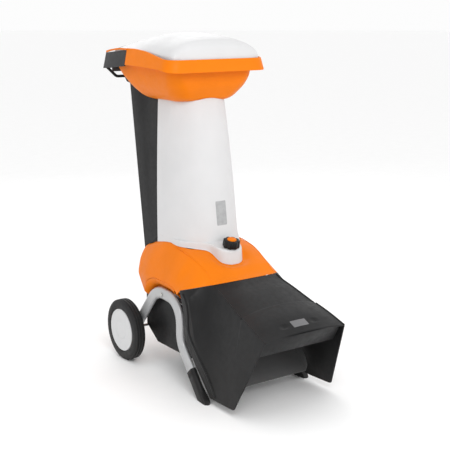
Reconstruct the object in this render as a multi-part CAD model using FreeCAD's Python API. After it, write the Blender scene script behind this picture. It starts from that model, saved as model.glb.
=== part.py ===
"""Upright electric garden chipper: one STEP file per separate piece, in millimetres.

The machine is drawn with Y = 0 at the wheel axle, X = 0 on the plane of symmetry, Z = 0 on the
ground and the ejection chute towards -Y.  The finished pieces are moved forward by ORIGIN_SHIFT,
so that the origin of the part lies under the middle of the whole machine.
"""
import FreeCAD, Part
import math
import os

V = FreeCAD.Vector
X_AXIS = V(1, 0, 0)
Y_AXIS = V(0, 1, 0)
Z_AXIS = V(0, 0, 1)

# ---- driving dimensions -----------------------------------------------------------------
ORIGIN_SHIFT = 342.0          # wheel axle to the middle of the overall length

WHEEL_R = 125.0               # standard 250 mm wheel
WHEEL_OUTER_X = 258.0
TYRE_WIDTH = 49.0
TYRE_BORE_R = 87.5
HUB_CAP_R = 86.7
AXLE_R = 6.0
AXLE_Z = WHEEL_R
RUNNING_GAP = 0.05            # radial clearance of every running fit

LEG_X = 185.0                 # leg centreline at the axle
LEG_SPLAY_DEG = 4.43          # each leg's plane turns outward towards the feet
LEG_DEPTH = 45.0              # flat-oval tube, in the plane of the leg
LEG_THICK = 22.0              # flat-oval tube, across the plane of the leg
LEG_WALL = 2.0
LEG_TOP_Z = 333.0
LEG_REAR_Y = -194.0            # corner above the line up from the axle
LEG_FRONT_Y = -390.0
LEG_KNEE_Z = 177.0            # below this the leg runs forward and down at 45 degrees
LEG_RADII = [140.0, 88.0, 80.0]
LEG_BOLT_Y = -258.0
SLEEVE_THICK = 26.7
SLEEVE_DEPTH = 52.0

DISC_Y = -215.0               # vertical axis of motor and cutting disc
MOTOR_R = 72.0
SHAFT_R = 8.5
CHAMBER_R = 141.0
CHAMBER_WALL = 4.0
DISC_R = 125.0

HOUSING_HALF = 176.0
HOUSING_WALL = 4.0
HOUSING_FLOOR_Z = 104.0
HOUSING_TOP_Z = 298.0
COVER_WALL = 3.5
HOOD_WALL = 4.0
SEAM_TILT_SLOPE = 35.0 / 111.0    # rise over run of the joint between cover and hood
SEAM_Y = -396.0
SEAM_Z = 382.0
PART_GAP = 0.6                # gap between neighbouring fixed shells
RECESS_IN = 172.0             # inner plane of the cover's recess for the leg, at the axle
RECESS_OFFSET = 29.0          # the recess clears the leg's centreline by this much on that plane
COVE_WALL = 3.0

HINGE_Y = 34.0                # tilt hinge behind the foot of the tower
HINGE_Z = 466.0
HINGE_PIN_R = 4.0
KNUCKLE_R = 8.0

TOWER_TOP_Z = 1104.0
BACK_TOP_Z = 1124.0
TOWER_FOOT_Z = 430.0
TOWER_WALL = 3.5
TOWER_OVAL_N = 2.3            # exponent of the superellipse of the tower's front
TOWER_OVAL_Y = -150.0         # where the straight sides turn into the oval front

KNOB_TILT_DEG = 12.0          # the lock screw leans forward
KNOB_Y = -413.0               # foot of the knob on the boss
KNOB_Z = 521.0
KNOB_R = 33.0
KNOB_HEIGHT = 29.0
KNOB_LOBES = 8
SCREW_R = 4.0

RIM_HALF = 229.0
RIM_FRONT_Y = -352.0
RIM_REAR_Y = 160.0
RIM_FRONT_RADIUS = 58.0
RIM_REAR_RADIUS = 14.0
DOME_TOP_Z = 1318.0
RIM_FLARE = 20.0              # the rim's band is this much smaller at its top
BAR_R = 6.0                   # handle bar below the mouth
BAR_Y = 180.0
BAR_Z = 1138.0
FOOT_GAP = 1.2                # the tower's foot stands this far above the cover
ROD_R = 3.0                   # rod that carries the splash flaps
ROD_Y = 76.0
ROD_Z = 1243.0
SWITCH_Z = 1015.0             # middle of the switch box on the back of the tower
BACK_LEAN_DEG = 13.54
BUTTON_UP = 22.0
STOP_R = 14.0
START_R = 11.0
LOCK_BORE_R = 5.5

NODES = {}


# ---- helpers ----------------------------------------------------------------------------
def add(name, shape):
    """Keep a finished piece under its node name."""
    NODES[name] = shape


def box(x0, x1, y0, y1, z0, z1):
    return Part.makeBox(x1 - x0, y1 - y0, z1 - z0, V(x0, y0, z0))


def cyl(radius, base, direction, length):
    return Part.makeCylinder(radius, length, base, direction)


def ring(outer_r, inner_r, base, direction, length):
    return cyl(outer_r, base, direction, length).cut(cyl(inner_r, base, direction, length))


def largest(shape):
    """The biggest solid of a shape, without any loose crumbs of a boolean."""
    return max(shape.Solids, key=lambda solid: solid.Volume)


def mirror_x(shape):
    return shape.mirror(V(0, 0, 0), X_AXIS)


def both_sides(shape):
    """A shape and its mirror image, as one group of separate solids."""
    return Part.makeCompound([shape, mirror_x(shape)])


def fuse_all(shapes):
    result = shapes[0]
    for shape in shapes[1:]:
        result = result.fuse(shape)
    return result.removeSplitter()


def polygon_wire(points):
    return Part.makePolygon([V(*p) for p in points + points[:1]])


def side_prism(yz_points, x0, x1):
    """Prism along X of an outline given in the side view."""
    face = Part.Face(polygon_wire([(x0, y, z) for y, z in yz_points]))
    return face.extrude(V(x1 - x0, 0, 0))


def rounded_plan(half, y_front, y_rear, front_radius, z, rear_radius=None):
    """Closed wire of a rounded rectangle in a horizontal plane."""
    back = front_radius if rear_radius is None else rear_radius
    corners = [(half, y_front, -1, 1, front_radius), (half, y_rear, -1, -1, back),
               (-half, y_rear, 1, -1, back), (-half, y_front, 1, 1, front_radius)]
    edges = []
    arcs = []
    for x, y, sx, sy, radius in corners:
        k = radius * (1 - math.sqrt(0.5))
        on_side = V(x, y + sy * radius, z)
        on_end = V(x + sx * radius, y, z)
        middle = V(x + sx * k, y + sy * k, z)
        arcs.append((on_side, middle, on_end))
    order = [(arcs[0][2], arcs[0][1], arcs[0][0]), arcs[1], (arcs[2][2], arcs[2][1], arcs[2][0]), arcs[3]]
    for i, (start, middle, end) in enumerate(order):
        edges.append(Part.Arc(start, middle, end).toShape())
        following = order[(i + 1) % 4][0]
        edges.append(Part.makeLine(end, following))
    return Part.Wire(edges)


def loft(wires, ruled=False):
    return Part.makeLoft(wires, True, ruled)


def fillet_path(points, radii):
    """Lines joined by tangent arcs through a corner list in one plane."""
    edges = []
    start = points[0]
    for i in range(1, len(points) - 1):
        corner = points[i]
        into = (corner - points[i - 1]).normalize()
        out = (points[i + 1] - corner).normalize()
        turn = math.acos(max(-1.0, min(1.0, into.dot(out))))
        tangent = radii[i - 1] * math.tan(turn / 2)
        first = corner - into * tangent
        last = corner + out * tangent
        inward = (out - into).normalize()
        middle = corner + inward * (radii[i - 1] / math.cos(turn / 2) - radii[i - 1])
        edges.append(Part.makeLine(start, first))
        edges.append(Part.Arc(first, middle, last).toShape())
        start = last
    edges.append(Part.makeLine(start, points[-1]))
    return Part.Wire(edges)


# ---- chassis: legs, feet, axle, wheels --------------------------------------------------
def leg_corners():
    """Corners of the leg's centreline in the side view."""
    return [V(0, 0, AXLE_Z), V(0, LEG_REAR_Y, LEG_TOP_Z), V(0, LEG_FRONT_Y, LEG_TOP_Z),
            V(0, LEG_FRONT_Y, LEG_KNEE_Z), V(0, LEG_FRONT_Y - LEG_KNEE_Z + 1, 1)]


def splay(shape):
    """Put a shape drawn in the plane X = 0 into the plane of the left leg."""
    shape.rotate(V(0, 0, 0), Z_AXIS, -LEG_SPLAY_DEG)
    shape.translate(V(-LEG_X, 0, 0))
    return shape


def flat_oval(depth, thick, centre, along):
    """Flat-oval section across a path that lies in the plane X = 0."""
    across = along.cross(X_AXIS).normalize()
    r = thick / 2
    half = depth / 2 - r
    a = centre + across * half
    b = centre - across * half
    side = X_AXIS * r
    edges = [Part.makeLine(b + side, a + side),
             Part.Arc(a + side, a + across * r, a - side).toShape(),
             Part.makeLine(a - side, b - side),
             Part.Arc(b - side, b - across * r, b + side).toShape()]
    return Part.Wire(edges)


def swept_tube(path, start, along, depth, thick):
    profile = flat_oval(depth, thick, start, along)
    return path.makePipeShell([profile], True, False)


def make_legs():
    corners = leg_corners()
    along = (corners[1] - corners[0]).normalize()
    corners[0] = corners[0] + along * 26
    path = fillet_path(corners, LEG_RADII)
    outer = swept_tube(path, corners[0], along, LEG_DEPTH, LEG_THICK)
    inner = swept_tube(path, corners[0], along, LEG_DEPTH - 2 * LEG_WALL, LEG_THICK - 2 * LEG_WALL)
    leg = outer.cut(inner)
    ground = box(-60, 60, -900, 200, 6, 500)
    leg = leg.common(ground)
    bolt_hole = cyl(4.2, V(-30, LEG_BOLT_Y, LEG_TOP_Z - 2), X_AXIS, 60)
    leg = leg.cut(bolt_hole)
    left = splay(leg)
    add("leg_left", left)
    add("leg_right", mirror_x(left))

    down = (corners[4] - corners[3]).normalize()
    top = V(0, -476, 0)
    top.z = corners[3].z + (top.y - corners[3].y) * down.z / down.y
    bottom = top + down * 230
    line = Part.Wire([Part.makeLine(top, bottom)])
    sleeve = swept_tube(line, top, down, SLEEVE_DEPTH, SLEEVE_THICK)
    toe = side_prism([(-535, 60), (-594, 14), (-600, 0), (-545, 0), (-520, 42)],
                     -SLEEVE_THICK / 2 + 2, SLEEVE_THICK / 2 - 2)
    sleeve = sleeve.fuse(toe)
    sleeve = sleeve.common(box(-60, 60, -601, 200, 0, 500))
    bore = swept_tube(line, top, down, LEG_DEPTH + 0.6, LEG_THICK + 0.6)
    sleeve = sleeve.cut(bore.common(box(-60, 60, -900, 200, 5.4, 500)))
    left_sleeve = splay(sleeve.removeSplitter())
    add("foot_sleeve_left", left_sleeve)
    add("foot_sleeve_right", mirror_x(left_sleeve))

    head = cyl(8.0, V(-LEG_THICK / 2 - 4.5, LEG_BOLT_Y, LEG_TOP_Z - 2), X_AXIS, 4.2)
    shank = cyl(4.0, V(-LEG_THICK / 2 - 1, LEG_BOLT_Y, LEG_TOP_Z - 2), X_AXIS, LEG_THICK + 8)
    bolt = splay(head.fuse(shank))
    add("leg_bolts", both_sides(bolt))


def make_axle():
    block = side_prism([(30, 100), (34, 135), (8, 168), (-20, 158), (-34, 118), (-14, 94)], -204, -170)
    block = block.cut(cyl(AXLE_R, V(-300, 0, AXLE_Z), X_AXIS, 200))
    block = block.cut(NODES["leg_left"])
    add("axle_mounts", both_sides(largest(block)))
    axle_half = WHEEL_OUTER_X - 12
    add("axle", cyl(AXLE_R, V(-axle_half, 0, AXLE_Z), X_AXIS, 2 * axle_half))
    clip = ring(11, AXLE_R, V(-axle_half + 0.3, 0, AXLE_Z), X_AXIS, 2.3)
    add("axle_clips", both_sides(clip))


def make_wheels():
    outer = -WHEEL_OUTER_X
    inner = outer + TYRE_WIDTH
    shoulder = 4.5
    outline = [(inner, TYRE_BORE_R), (inner, WHEEL_R - 10), (inner - 5, WHEEL_R - shoulder)]
    for share in (0.24, 0.5, 0.76):
        centre = inner - TYRE_WIDTH * share
        outline += [(centre + 2.5, WHEEL_R), (centre + 1.5, WHEEL_R - 4)]
        outline += [(centre - 1.5, WHEEL_R - 4), (centre - 2.5, WHEEL_R)]
    outline += [(outer + 5, WHEEL_R - shoulder), (outer, WHEEL_R - 10), (outer, TYRE_BORE_R)]
    face = Part.Face(polygon_wire([(x, 0, AXLE_Z + r) for x, r in outline]))
    tyre = face.revolve(V(0, 0, AXLE_Z), X_AXIS, 360)
    add("tyre_left", tyre)
    add("tyre_right", mirror_x(tyre))

    hub_in = inner + 2
    hub_out = outer + 15
    rim = ring(TYRE_BORE_R, TYRE_BORE_R - 6, V(outer + 10, 0, AXLE_Z), X_AXIS, TYRE_WIDTH - 13)
    web = ring(TYRE_BORE_R - 4, 18, V((inner + outer) / 2 - 2.5, 0, AXLE_Z), X_AXIS, 5)
    hub = ring(21, AXLE_R + RUNNING_GAP, V(hub_out, 0, AXLE_Z), X_AXIS, hub_in - hub_out)
    ribs = []
    for i in range(6):
        rib = box(outer + 10, inner - 8, -2, 2, AXLE_Z + 20, AXLE_Z + TYRE_BORE_R - 4)
        rib.rotate(V(0, 0, AXLE_Z), X_AXIS, i * 60)
        ribs.append(rib)
    wheel = fuse_all([rim, web, hub] + ribs)
    add("wheel_left", wheel)
    add("wheel_right", mirror_x(wheel))

    cap = ring(HUB_CAP_R, HUB_CAP_R - 3, V(outer + 2.5, 0, AXLE_Z), X_AXIS, 7)
    sphere_r = 620.0
    dome = cyl(HUB_CAP_R, V(outer - 1, 0, AXLE_Z), X_AXIS, 8)
    dome = dome.common(Part.makeSphere(sphere_r, V(outer + sphere_r, 0, AXLE_Z)))
    dome = dome.cut(Part.makeSphere(sphere_r - 3, V(outer + sphere_r, 0, AXLE_Z)))
    cap = cap.fuse(dome)
    add("hub_cap_left", cap.removeSplitter())
    add("hub_cap_right", mirror_x(cap.removeSplitter()))


# ---- base: housing, cover, hood, chute --------------------------------------------------
def seam_z(y):
    """Height of the joint between orange cover and black hood."""
    return SEAM_Z - (y - SEAM_Y) * SEAM_TILT_SLOPE


# Half sections of the bonnet (cover and hood together): station Y, then ridge, shoulder, flank and
# foot points as (x, z), from the rear wheels' side to the front of the visor.
BONNET = [
    (-54, (146, 484), (178, 436), (195, 372), (194, 280)),
    (-127, (149, 509), (188, 443), (208, 374), (205, 280)),
    (-200, (150, 519), (190, 447), (212, 376), (208, 280)),
    (-260, (150, 512), (192, 445), (215, 378), (212, 280)),
    (-343, (150, 497), (194, 438), (219, 382), (217, 280)),
    (-396, (146, 481), (184, 431), (222, 382), (222, 20)),
    (-462, (140, 449), (183, 406), (224, 364), (224, 20)),
    (-480, (141, 436), (184, 375), (224, 300), (224, 20)),
    (-507, (143, 417), (184, 320), (224, 207), (224, 20)),
    (-617, (156, 379), (190, 222), (224, 62), (225, 20)),
    (-717, (167.5, 346), (197, 190), (225, 35), (226, 20)),
    (-722, (168, 350), (197, 190), (225, 35), (226, 20)),
    (-795, (174, 329), (200, 179), (226, 34), (227, 20)),
    (-870, (179, 301), (203, 168), (227, 33), (228, 20)),
]
COVER_STATIONS = BONNET[:10]
HOOD_STATIONS = BONNET[5:]
REAR_CORNER_R = 82.0          # the cover's back is rounded in plan

# How much higher the top is in the middle than at its ridges, by station Y.
CROWN_LINE = [(-900, 13), (-870, 14), (-795, 21), (-722, 23), (-717, 19), (-617, 16), (-396, 14), (-343, 12),
              (-260, 9), (-127, 4), (60, 0)]
CROWN_SHAPE = [(0.0, 1.0), (0.36, 0.94), (0.72, 0.56)]    # share of the half width, share of the crown


def rear_stations():
    """Stations behind the first one, narrowing round the corner of the back."""
    first = BONNET[0]
    stations = []
    for share in (0.999, 0.96, 0.84, 0.64, 0.36):
        y = first[0] + REAR_CORNER_R * share
        narrowing = REAR_CORNER_R * (1 - math.sqrt(1 - share * share))
        drop = 30.0 * share
        ridge, shoulder, flank, foot = [(x - narrowing, z) for x, z in first[1:]]
        stations.append((y, (ridge[0], ridge[1] - drop), (shoulder[0], shoulder[1] - drop * 0.4), flank, foot))
    return stations


def interpolate(line, at):
    """Value at a place on a line given as (place, value) points in rising order."""
    for (x0, v0), (x1, v1) in zip(line, line[1:]):
        if at <= x1:
            return v0 + (v1 - v0) * (at - x0) / (x1 - x0)
    return line[-1][1]


def bonnet_half(station, inset):
    y, ridge, shoulder, flank, foot = station
    crown = interpolate(CROWN_LINE, y)
    points = [(ridge[0] * out, ridge[1] + crown * up - inset) for out, up in CROWN_SHAPE]
    points.append((ridge[0] - inset * 0.6, ridge[1] - inset))
    points.append((shoulder[0] - inset, shoulder[1] - inset * 0.4))
    points.append((flank[0] - inset, flank[1] - inset * 0.2))
    points.append((foot[0] - inset, foot[1] - inset * 4))
    return y, points


def bonnet(stations, inset):
    wires = []
    for station in stations:
        y, half = bonnet_half(station, inset)
        ring_points = [(x, y, z) for x, z in half] + [(-x, y, z) for x, z in reversed(half[1:])]
        wires.append(polygon_wire(ring_points))
    return loft(wires, ruled=True)


def rear_side(inset):
    """Side outline of the cover: the back bulges out and then tucks in towards the housing."""
    points = [(-900, 200), (-55 - inset, 200), (-55 - inset, 300), (5 - inset, 371), (14 - inset, 405),
              (21 - inset, 432), (26 - inset, 458), (26 - inset, 600), (-900, 600)]
    return side_prism(points, -240, 240)


def leg_recess(grow):
    """Room for the leg's arch, cut into the flank of the cover: a cove that widens outwards."""
    wires = []
    for depth, offset in ((RECESS_IN - grow, RECESS_OFFSET + grow), (RECESS_IN + 60, RECESS_OFFSET + 59 + grow)):
        corners = [V(-depth, 120, 40), V(-depth, -178 + offset * 0.5, LEG_TOP_Z + offset),
                   V(-depth, LEG_FRONT_Y - offset, LEG_TOP_Z + offset), V(-depth, LEG_FRONT_Y - offset, 40)]
        arch = fillet_path(corners, [LEG_RADII[0], LEG_RADII[1] + offset])
        wires.append(Part.Wire(arch.Edges + [Part.makeLine(corners[3], corners[0])]))
    solid = loft(wires, ruled=True)
    solid.rotate(V(0, 0, 0), Z_AXIS, -LEG_SPLAY_DEG)
    return solid


def tower_hole():
    """Opening in the top of the cover, inside the foot of the tower."""
    wire = rounded_plan(128, -330, 4, 50, 380)
    return Part.Face(wire).extrude(V(0, 0, 250))


def make_cover():
    stations = rear_stations() + COVER_STATIONS
    outer = bonnet(stations, 0).common(rear_side(0))
    inner = bonnet(stations, COVER_WALL).common(rear_side(COVER_WALL))
    shell = outer.cut(inner)
    low = HOUSING_TOP_Z + 2
    above_seam = side_prism([(60, low), (60, 700), (-700, 700), (-700, seam_z(-700) + PART_GAP),
                             (SEAM_Y, SEAM_Z + PART_GAP), (-372, 358), (-350, low)], -240, 240)
    shell = shell.common(above_seam)
    recess = leg_recess(0)
    recess_wall = leg_recess(COVE_WALL).common(outer).common(above_seam).cut(recess)
    shell = shell.cut(recess).cut(mirror_x(recess))
    shell = shell.fuse([recess_wall, mirror_x(recess_wall)])
    shell = shell.cut(NODES["leg_bolts"])
    shell = shell.cut(tower_hole())
    shell = shell.cut(cyl(9, lock_point(-80), lock_axis(), 100))
    shell = shell.cut(box(-95, 95, 0, 60, 452, 600))
    add("base_cover", largest(shell))


def make_hood():
    outer = bonnet(HOOD_STATIONS, 0)
    longer = [(-380,) + HOOD_STATIONS[0][1:]] + HOOD_STATIONS[1:-1] + [(-890,) + HOOD_STATIONS[-1][1:]]
    shell = outer.cut(bonnet(longer, HOOD_WALL))
    outline = side_prism([(SEAM_Y - PART_GAP, SEAM_Z - PART_GAP), (-900, seam_z(-900) - PART_GAP), (-900, 340),
                          (-868, 318), (-868, 301), (-752, 33), (-742, 30), (-631, 26), (-600, 26),
                          (-455, 172), (-426, 215), (-424, 310)], -240, 240)
    shell = shell.common(outline)
    flange = hood_flange()
    add("ejection_hood", largest(shell).fuse([flange, mirror_x(flange)]).removeSplitter())


def hood_flange():
    """Thickened rear edge of the hood's cheek, which runs down the front of the leg."""
    strip = side_prism([(-424, 345), (-456, 330), (-456, 240), (-478, 206), (-640, 45), (-628, 27),
                        (-598, 27), (-455, 170), (-424, 214)], -223, -209)
    return strip


def make_chute():
    baffle_line = [(-858, 303), (-818, 236), (-815, 238), (-855, 306)]
    baffle = side_prism(baffle_line, -168, 168)
    add("chute_baffle", baffle)
    plate = side_prism([(-404, 296), (-642, 53), (-645, 56), (-407, 299)], -190, 190)
    flange = side_prism([(-404, 296), (-642, 53), (-652, 80), (-640, 108), (-430, 322), (-407, 322)], -190, -187)
    ramp = fuse_all([plate, flange, mirror_x(flange)])
    add("discharge_ramp", ramp)


def housing_outline(inset, top):
    return [(-398 + inset, HOUSING_FLOOR_Z + inset), (-155 - inset * 0.4, HOUSING_FLOOR_Z + inset),
            (-72 - inset, 159 + inset * 0.4), (-72 - inset, top), (-398 + inset, top)]


def make_housing():
    outer = side_prism(housing_outline(0, HOUSING_TOP_Z), -HOUSING_HALF, HOUSING_HALF)
    inner = side_prism(housing_outline(HOUSING_WALL, HOUSING_TOP_Z + 10),
                       -HOUSING_HALF + HOUSING_WALL, HOUSING_HALF - HOUSING_WALL)
    shell = outer.cut(inner)
    for i in range(7):
        x = -84 + i * 28
        shell = shell.cut(box(x - 5, x + 5, -330, -190, 90, 115))
    add("base_housing", shell.removeSplitter())


def make_motor():
    centre = V(0, DISC_Y, 0)

    def at(z):
        return V(centre.x, centre.y, z)

    plate = box(-168, 168, -390, -80, HOUSING_TOP_Z, HOUSING_TOP_Z + 5)
    plate = plate.cut(cyl(30, at(290), Z_AXIS, 20))
    add("motor_plate", plate)
    add("motor_stator", ring(66, 46, at(160), Z_AXIS, 100))
    windings = []
    for z in (138, 260):
        windings.append(ring(62, 47, at(z), Z_AXIS, 22))
    add("motor_windings", Part.makeCompound(windings))
    top_bell = cyl(MOTOR_R, at(210), Z_AXIS, 88).cut(cyl(66.05, at(209), Z_AXIS, 79))
    top_bell = top_bell.cut(cyl(20, at(280), Z_AXIS, 30))
    top_bell = top_bell.fuse(ring(26, 20, at(282), Z_AXIS, 16))
    add("motor_top_bell", top_bell.removeSplitter())
    bottom_bell = cyl(MOTOR_R, at(118), Z_AXIS, 92).cut(cyl(66.05, at(127), Z_AXIS, 90))
    bottom_bell = bottom_bell.cut(cyl(15, at(110), Z_AXIS, 30))
    for i in range(8):
        angle = math.radians(i * 45)
        vent = at(110) + V(42 * math.cos(angle), 42 * math.sin(angle), 0)
        bottom_bell = bottom_bell.cut(cyl(8, vent, Z_AXIS, 22))
    add("motor_bottom_bell", bottom_bell)
    bearings = []
    for z, outer_r in ((284, 20), (118.5, 15)):
        bearings.append(ring(outer_r, SHAFT_R + RUNNING_GAP, at(z), Z_AXIS, 12 if outer_r == 20 else 8))
    add("motor_bearings", Part.makeCompound(bearings))

    chamber = ring(CHAMBER_R + CHAMBER_WALL, CHAMBER_R, at(HOUSING_TOP_Z + 5), Z_AXIS, 97)
    outlet = box(-88, 88, -400, DISC_Y, HOUSING_TOP_Z, 420)
    chamber = chamber.cut(box(-84, 84, -400, DISC_Y, HOUSING_TOP_Z, 420))
    duct = box(-88, -84, -404, -330, HOUSING_TOP_Z + 5, 400)
    duct = duct.cut(cyl(CHAMBER_R, at(200), Z_AXIS, 300))
    chamber = chamber.fuse([duct, mirror_x(duct)]).common(fuse_all([outlet, cyl(146, at(200), Z_AXIS, 300),
                                                                  box(-90, 90, -404, -200, 200, 500)]))
    add("cutting_chamber", chamber.removeSplitter())
    lid = cyl(CHAMBER_R + CHAMBER_WALL, at(400), Z_AXIS, 4)
    lid = lid.fuse(box(-88, 88, -404, DISC_Y, 400, 404))
    collar = rounded_prism(82, -266, -94, 14, 404, 418)
    throat = rounded_prism(79, -263, -97, 12, 380, 440)
    add("chamber_lid", lid.fuse(collar).cut(throat).removeSplitter())
    add("counter_blade", box(86, 130, -240, -190, 386, 400).cut(cyl(4, V(112, -215, 380), Z_AXIS, 30)))


def rounded_prism(half, y_front, y_rear, radius, z0, z1):
    wire = rounded_plan(half, y_front, y_rear, radius, z0)
    return Part.Face(wire).extrude(V(0, 0, z1 - z0))


def make_rotor():
    def at(z):
        return V(0, DISC_Y, z)

    shaft = cyl(SHAFT_R, at(121), Z_AXIS, 207)
    add("rotor_shaft", shaft)
    add("rotor_core", ring(45.4, SHAFT_R, at(160), Z_AXIS, 100))
    fan = ring(13, SHAFT_R, at(130), Z_AXIS, 7)
    fan = fan.fuse(ring(44, 12, at(130), Z_AXIS, 2))
    for i in range(9):
        blade = box(12, 44, DISC_Y - 1, DISC_Y + 1, 131, 137)
        blade.rotate(at(0), Z_AXIS, i * 40)
        fan = fan.fuse(blade)
    add("cooling_fan", fan.removeSplitter())
    disc = cyl(DISC_R, at(328), Z_AXIS, 10).fuse(cyl(26, at(312), Z_AXIS, 17))
    disc = disc.cut(cyl(SHAFT_R, at(300), Z_AXIS, 28)).cut(cyl(5, at(300), Z_AXIS, 60))
    for i in range(2):
        slot = box(34, 112, DISC_Y - 26, DISC_Y - 12, 320, 345)
        slot.rotate(at(0), Z_AXIS, i * 180)
        disc = disc.cut(slot)
    for i in range(4):
        paddle = box(70, 120, DISC_Y - 2.5, DISC_Y + 2.5, 312, 329)
        paddle.rotate(at(0), Z_AXIS, 45 + i * 90)
        disc = disc.fuse(paddle)
    blades = []
    bolts = []
    for i in range(2):
        blade = side_prism([(DISC_Y - 14, 338), (DISC_Y + 24, 338), (DISC_Y + 24, 343), (DISC_Y - 6, 343)], 36, 110)
        for x in (52, 94):
            hole = cyl(4, V(x, DISC_Y + 10, 320), Z_AXIS, 40)
            blade = blade.cut(hole)
            bolt = cyl(4, V(x, DISC_Y + 10, 329), Z_AXIS, 14).fuse(cyl(7, V(x, DISC_Y + 10, 343), Z_AXIS, 5))
            hole.rotate(at(0), Z_AXIS, i * 180)
            disc = disc.cut(hole)
            bolt.rotate(at(0), Z_AXIS, i * 180)
            bolts.append(bolt)
        blade.rotate(at(0), Z_AXIS, i * 180)
        blades.append(blade)
    add("cutting_disc", disc.removeSplitter())
    add("disc_blades", Part.makeCompound(blades))
    knife = box(-30, 30, DISC_Y - 16, DISC_Y + 16, 338, 343)
    tip = Part.makeBox(40, 32, 5, V(0, DISC_Y - 16, 0))
    for sign in (1, -1):
        wing = tip.copy()
        wing.rotate(V(0, DISC_Y, 0), Y_AXIS, -38)
        wing.translate(V(28, 0, 339))
        if sign < 0:
            wing.rotate(at(0), Z_AXIS, 180)
        knife = knife.fuse(wing)
    knife = knife.cut(cyl(5, at(330), Z_AXIS, 40))
    knife = knife.common(box(-60, 60, -300, -100, 338, 380))
    add("wing_knife", knife.removeSplitter())
    bolts.append(cyl(5, at(328.5), Z_AXIS, 15).fuse(cyl(9, at(343), Z_AXIS, 7)).removeSplitter())
    add("cutter_bolts", Part.makeCompound(bolts))


# ---- tower ------------------------------------------------------------------------------
def tower_half(z):
    drop = 1060.0 - z
    return 116.0 + drop * 0.0778 - drop * drop * 0.0000444


def tower_front_y(z):
    drop = 1060.0 - z
    return -278.0 - drop * 0.2085 + drop * drop * 0.0000844


def tower_seam_y(z):
    return -85.0 - 0.055 * (1060.0 - z)


def back_half(z):
    return tower_half(z) - TOWER_WALL - 0.6


def back_rear_y(z):
    return 12.0 + 0.2409 * (z - 463.0)


def oval_front(z, inset, y_back):
    """Front half of the tower's section at a height: straight sides and an oval nose."""
    half = tower_half(z) - inset
    depth = TOWER_OVAL_Y - tower_front_y(z) - inset
    points = []
    steps = 20
    for i in range(steps + 1):
        t = -math.pi / 2 + math.pi * i / steps
        x = half * math.copysign(abs(math.sin(t)) ** (2 / TOWER_OVAL_N), math.sin(t))
        y = TOWER_OVAL_Y - depth * abs(math.cos(t)) ** (2 / TOWER_OVAL_N)
        points.append(V(x, y, z))
    points[0] = V(-half, TOWER_OVAL_Y, z)
    points[-1] = V(half, TOWER_OVAL_Y, z)
    curve = Part.BSplineCurve()
    curve.interpolate(points)
    left = Part.makeLine(V(-half, y_back, z), points[0])
    right = Part.makeLine(points[-1], V(half, y_back, z))
    back = Part.makeLine(V(half, y_back, z), V(-half, y_back, z))
    return Part.Wire([left, curve.toShape(), right, back])


TOWER_LEVELS = (TOWER_FOOT_Z, 565.0, 700.0, 835.0, 970.0, TOWER_TOP_Z)


def cover_surface(raise_by):
    """Solid under the top surface of the base, raised a little, to trim the foot of the tower."""
    raised = []
    for y, ridge, shoulder, flank, foot in rear_stations() + COVER_STATIONS:
        raised.append((y, (ridge[0] + raise_by, ridge[1] + raise_by), (shoulder[0] + raise_by, shoulder[1] + raise_by),
                       (flank[0] + raise_by, flank[1]), foot))
    return bonnet(raised, 0)


def lock_axis():
    tilt = math.radians(KNOB_TILT_DEG)
    return V(0, -math.sin(tilt), math.cos(tilt))


def lock_point(distance):
    """Point on the lock screw's axis, measured from the top of the boss."""
    return V(0, KNOB_Y, KNOB_Z) + lock_axis() * distance


def nose_outline(half, tip_y, z):
    """Plan outline of the moulded foot around the lock knob, half a polygon on each side."""
    right = [(half * 0.5, tip_y + 3), (half * 0.85, tip_y + 16), (half, -396), (half + 3, -370), (half + 14, -340),
             (half + 34, -315), (half + 60, -285), (half + 66, -200)]
    points = [(x, y, z) for x, y in right] + [(-x, y, z) for x, y in reversed(right)]
    return polygon_wire(points)


def make_front_shell():
    outer = loft([oval_front(z, 0, tower_seam_y(z)) for z in TOWER_LEVELS])
    inner = loft([oval_front(z, TOWER_WALL, tower_seam_y(z) + 1) for z in TOWER_LEVELS])
    shell = outer.cut(inner)
    above_boss = Part.makeBox(400, 400, 200, V(-200, -200, 0))
    above_boss.rotate(V(0, 0, 0), X_AXIS, KNOB_TILT_DEG)
    above_boss.translate(lock_point(0))
    nose = loft([nose_outline(58, -444, 420), nose_outline(44, -430, 560)], ruled=True)
    hollow = loft([nose_outline(54, -440, 419), nose_outline(40, -426, 561)], ruled=True)
    nose = nose.cut(above_boss)
    above_boss.translate(lock_axis() * -6)
    nose_shell = nose.cut(hollow.cut(above_boss)).cut(inner)
    shell = shell.cut(nose).fuse(nose_shell)
    shell = shell.cut(cover_surface(FOOT_GAP))
    shell = shell.cut(box(-300, 300, -600, 300, 300, 440))
    shell = shell.cut(cyl(SCREW_R + 0.5, lock_point(-40), lock_axis(), 60))
    shell = shell.cut(bowl_solid(0))
    add("tower_front_shell", largest(shell))


def back_section(z, inset):
    """Section of the back shell at a height; its side strips reach forward inside the front shell."""
    return rounded_plan(back_half(z) - inset, tower_seam_y(z) - 14, back_rear_y(z) - inset, 25 - inset, z)


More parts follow.
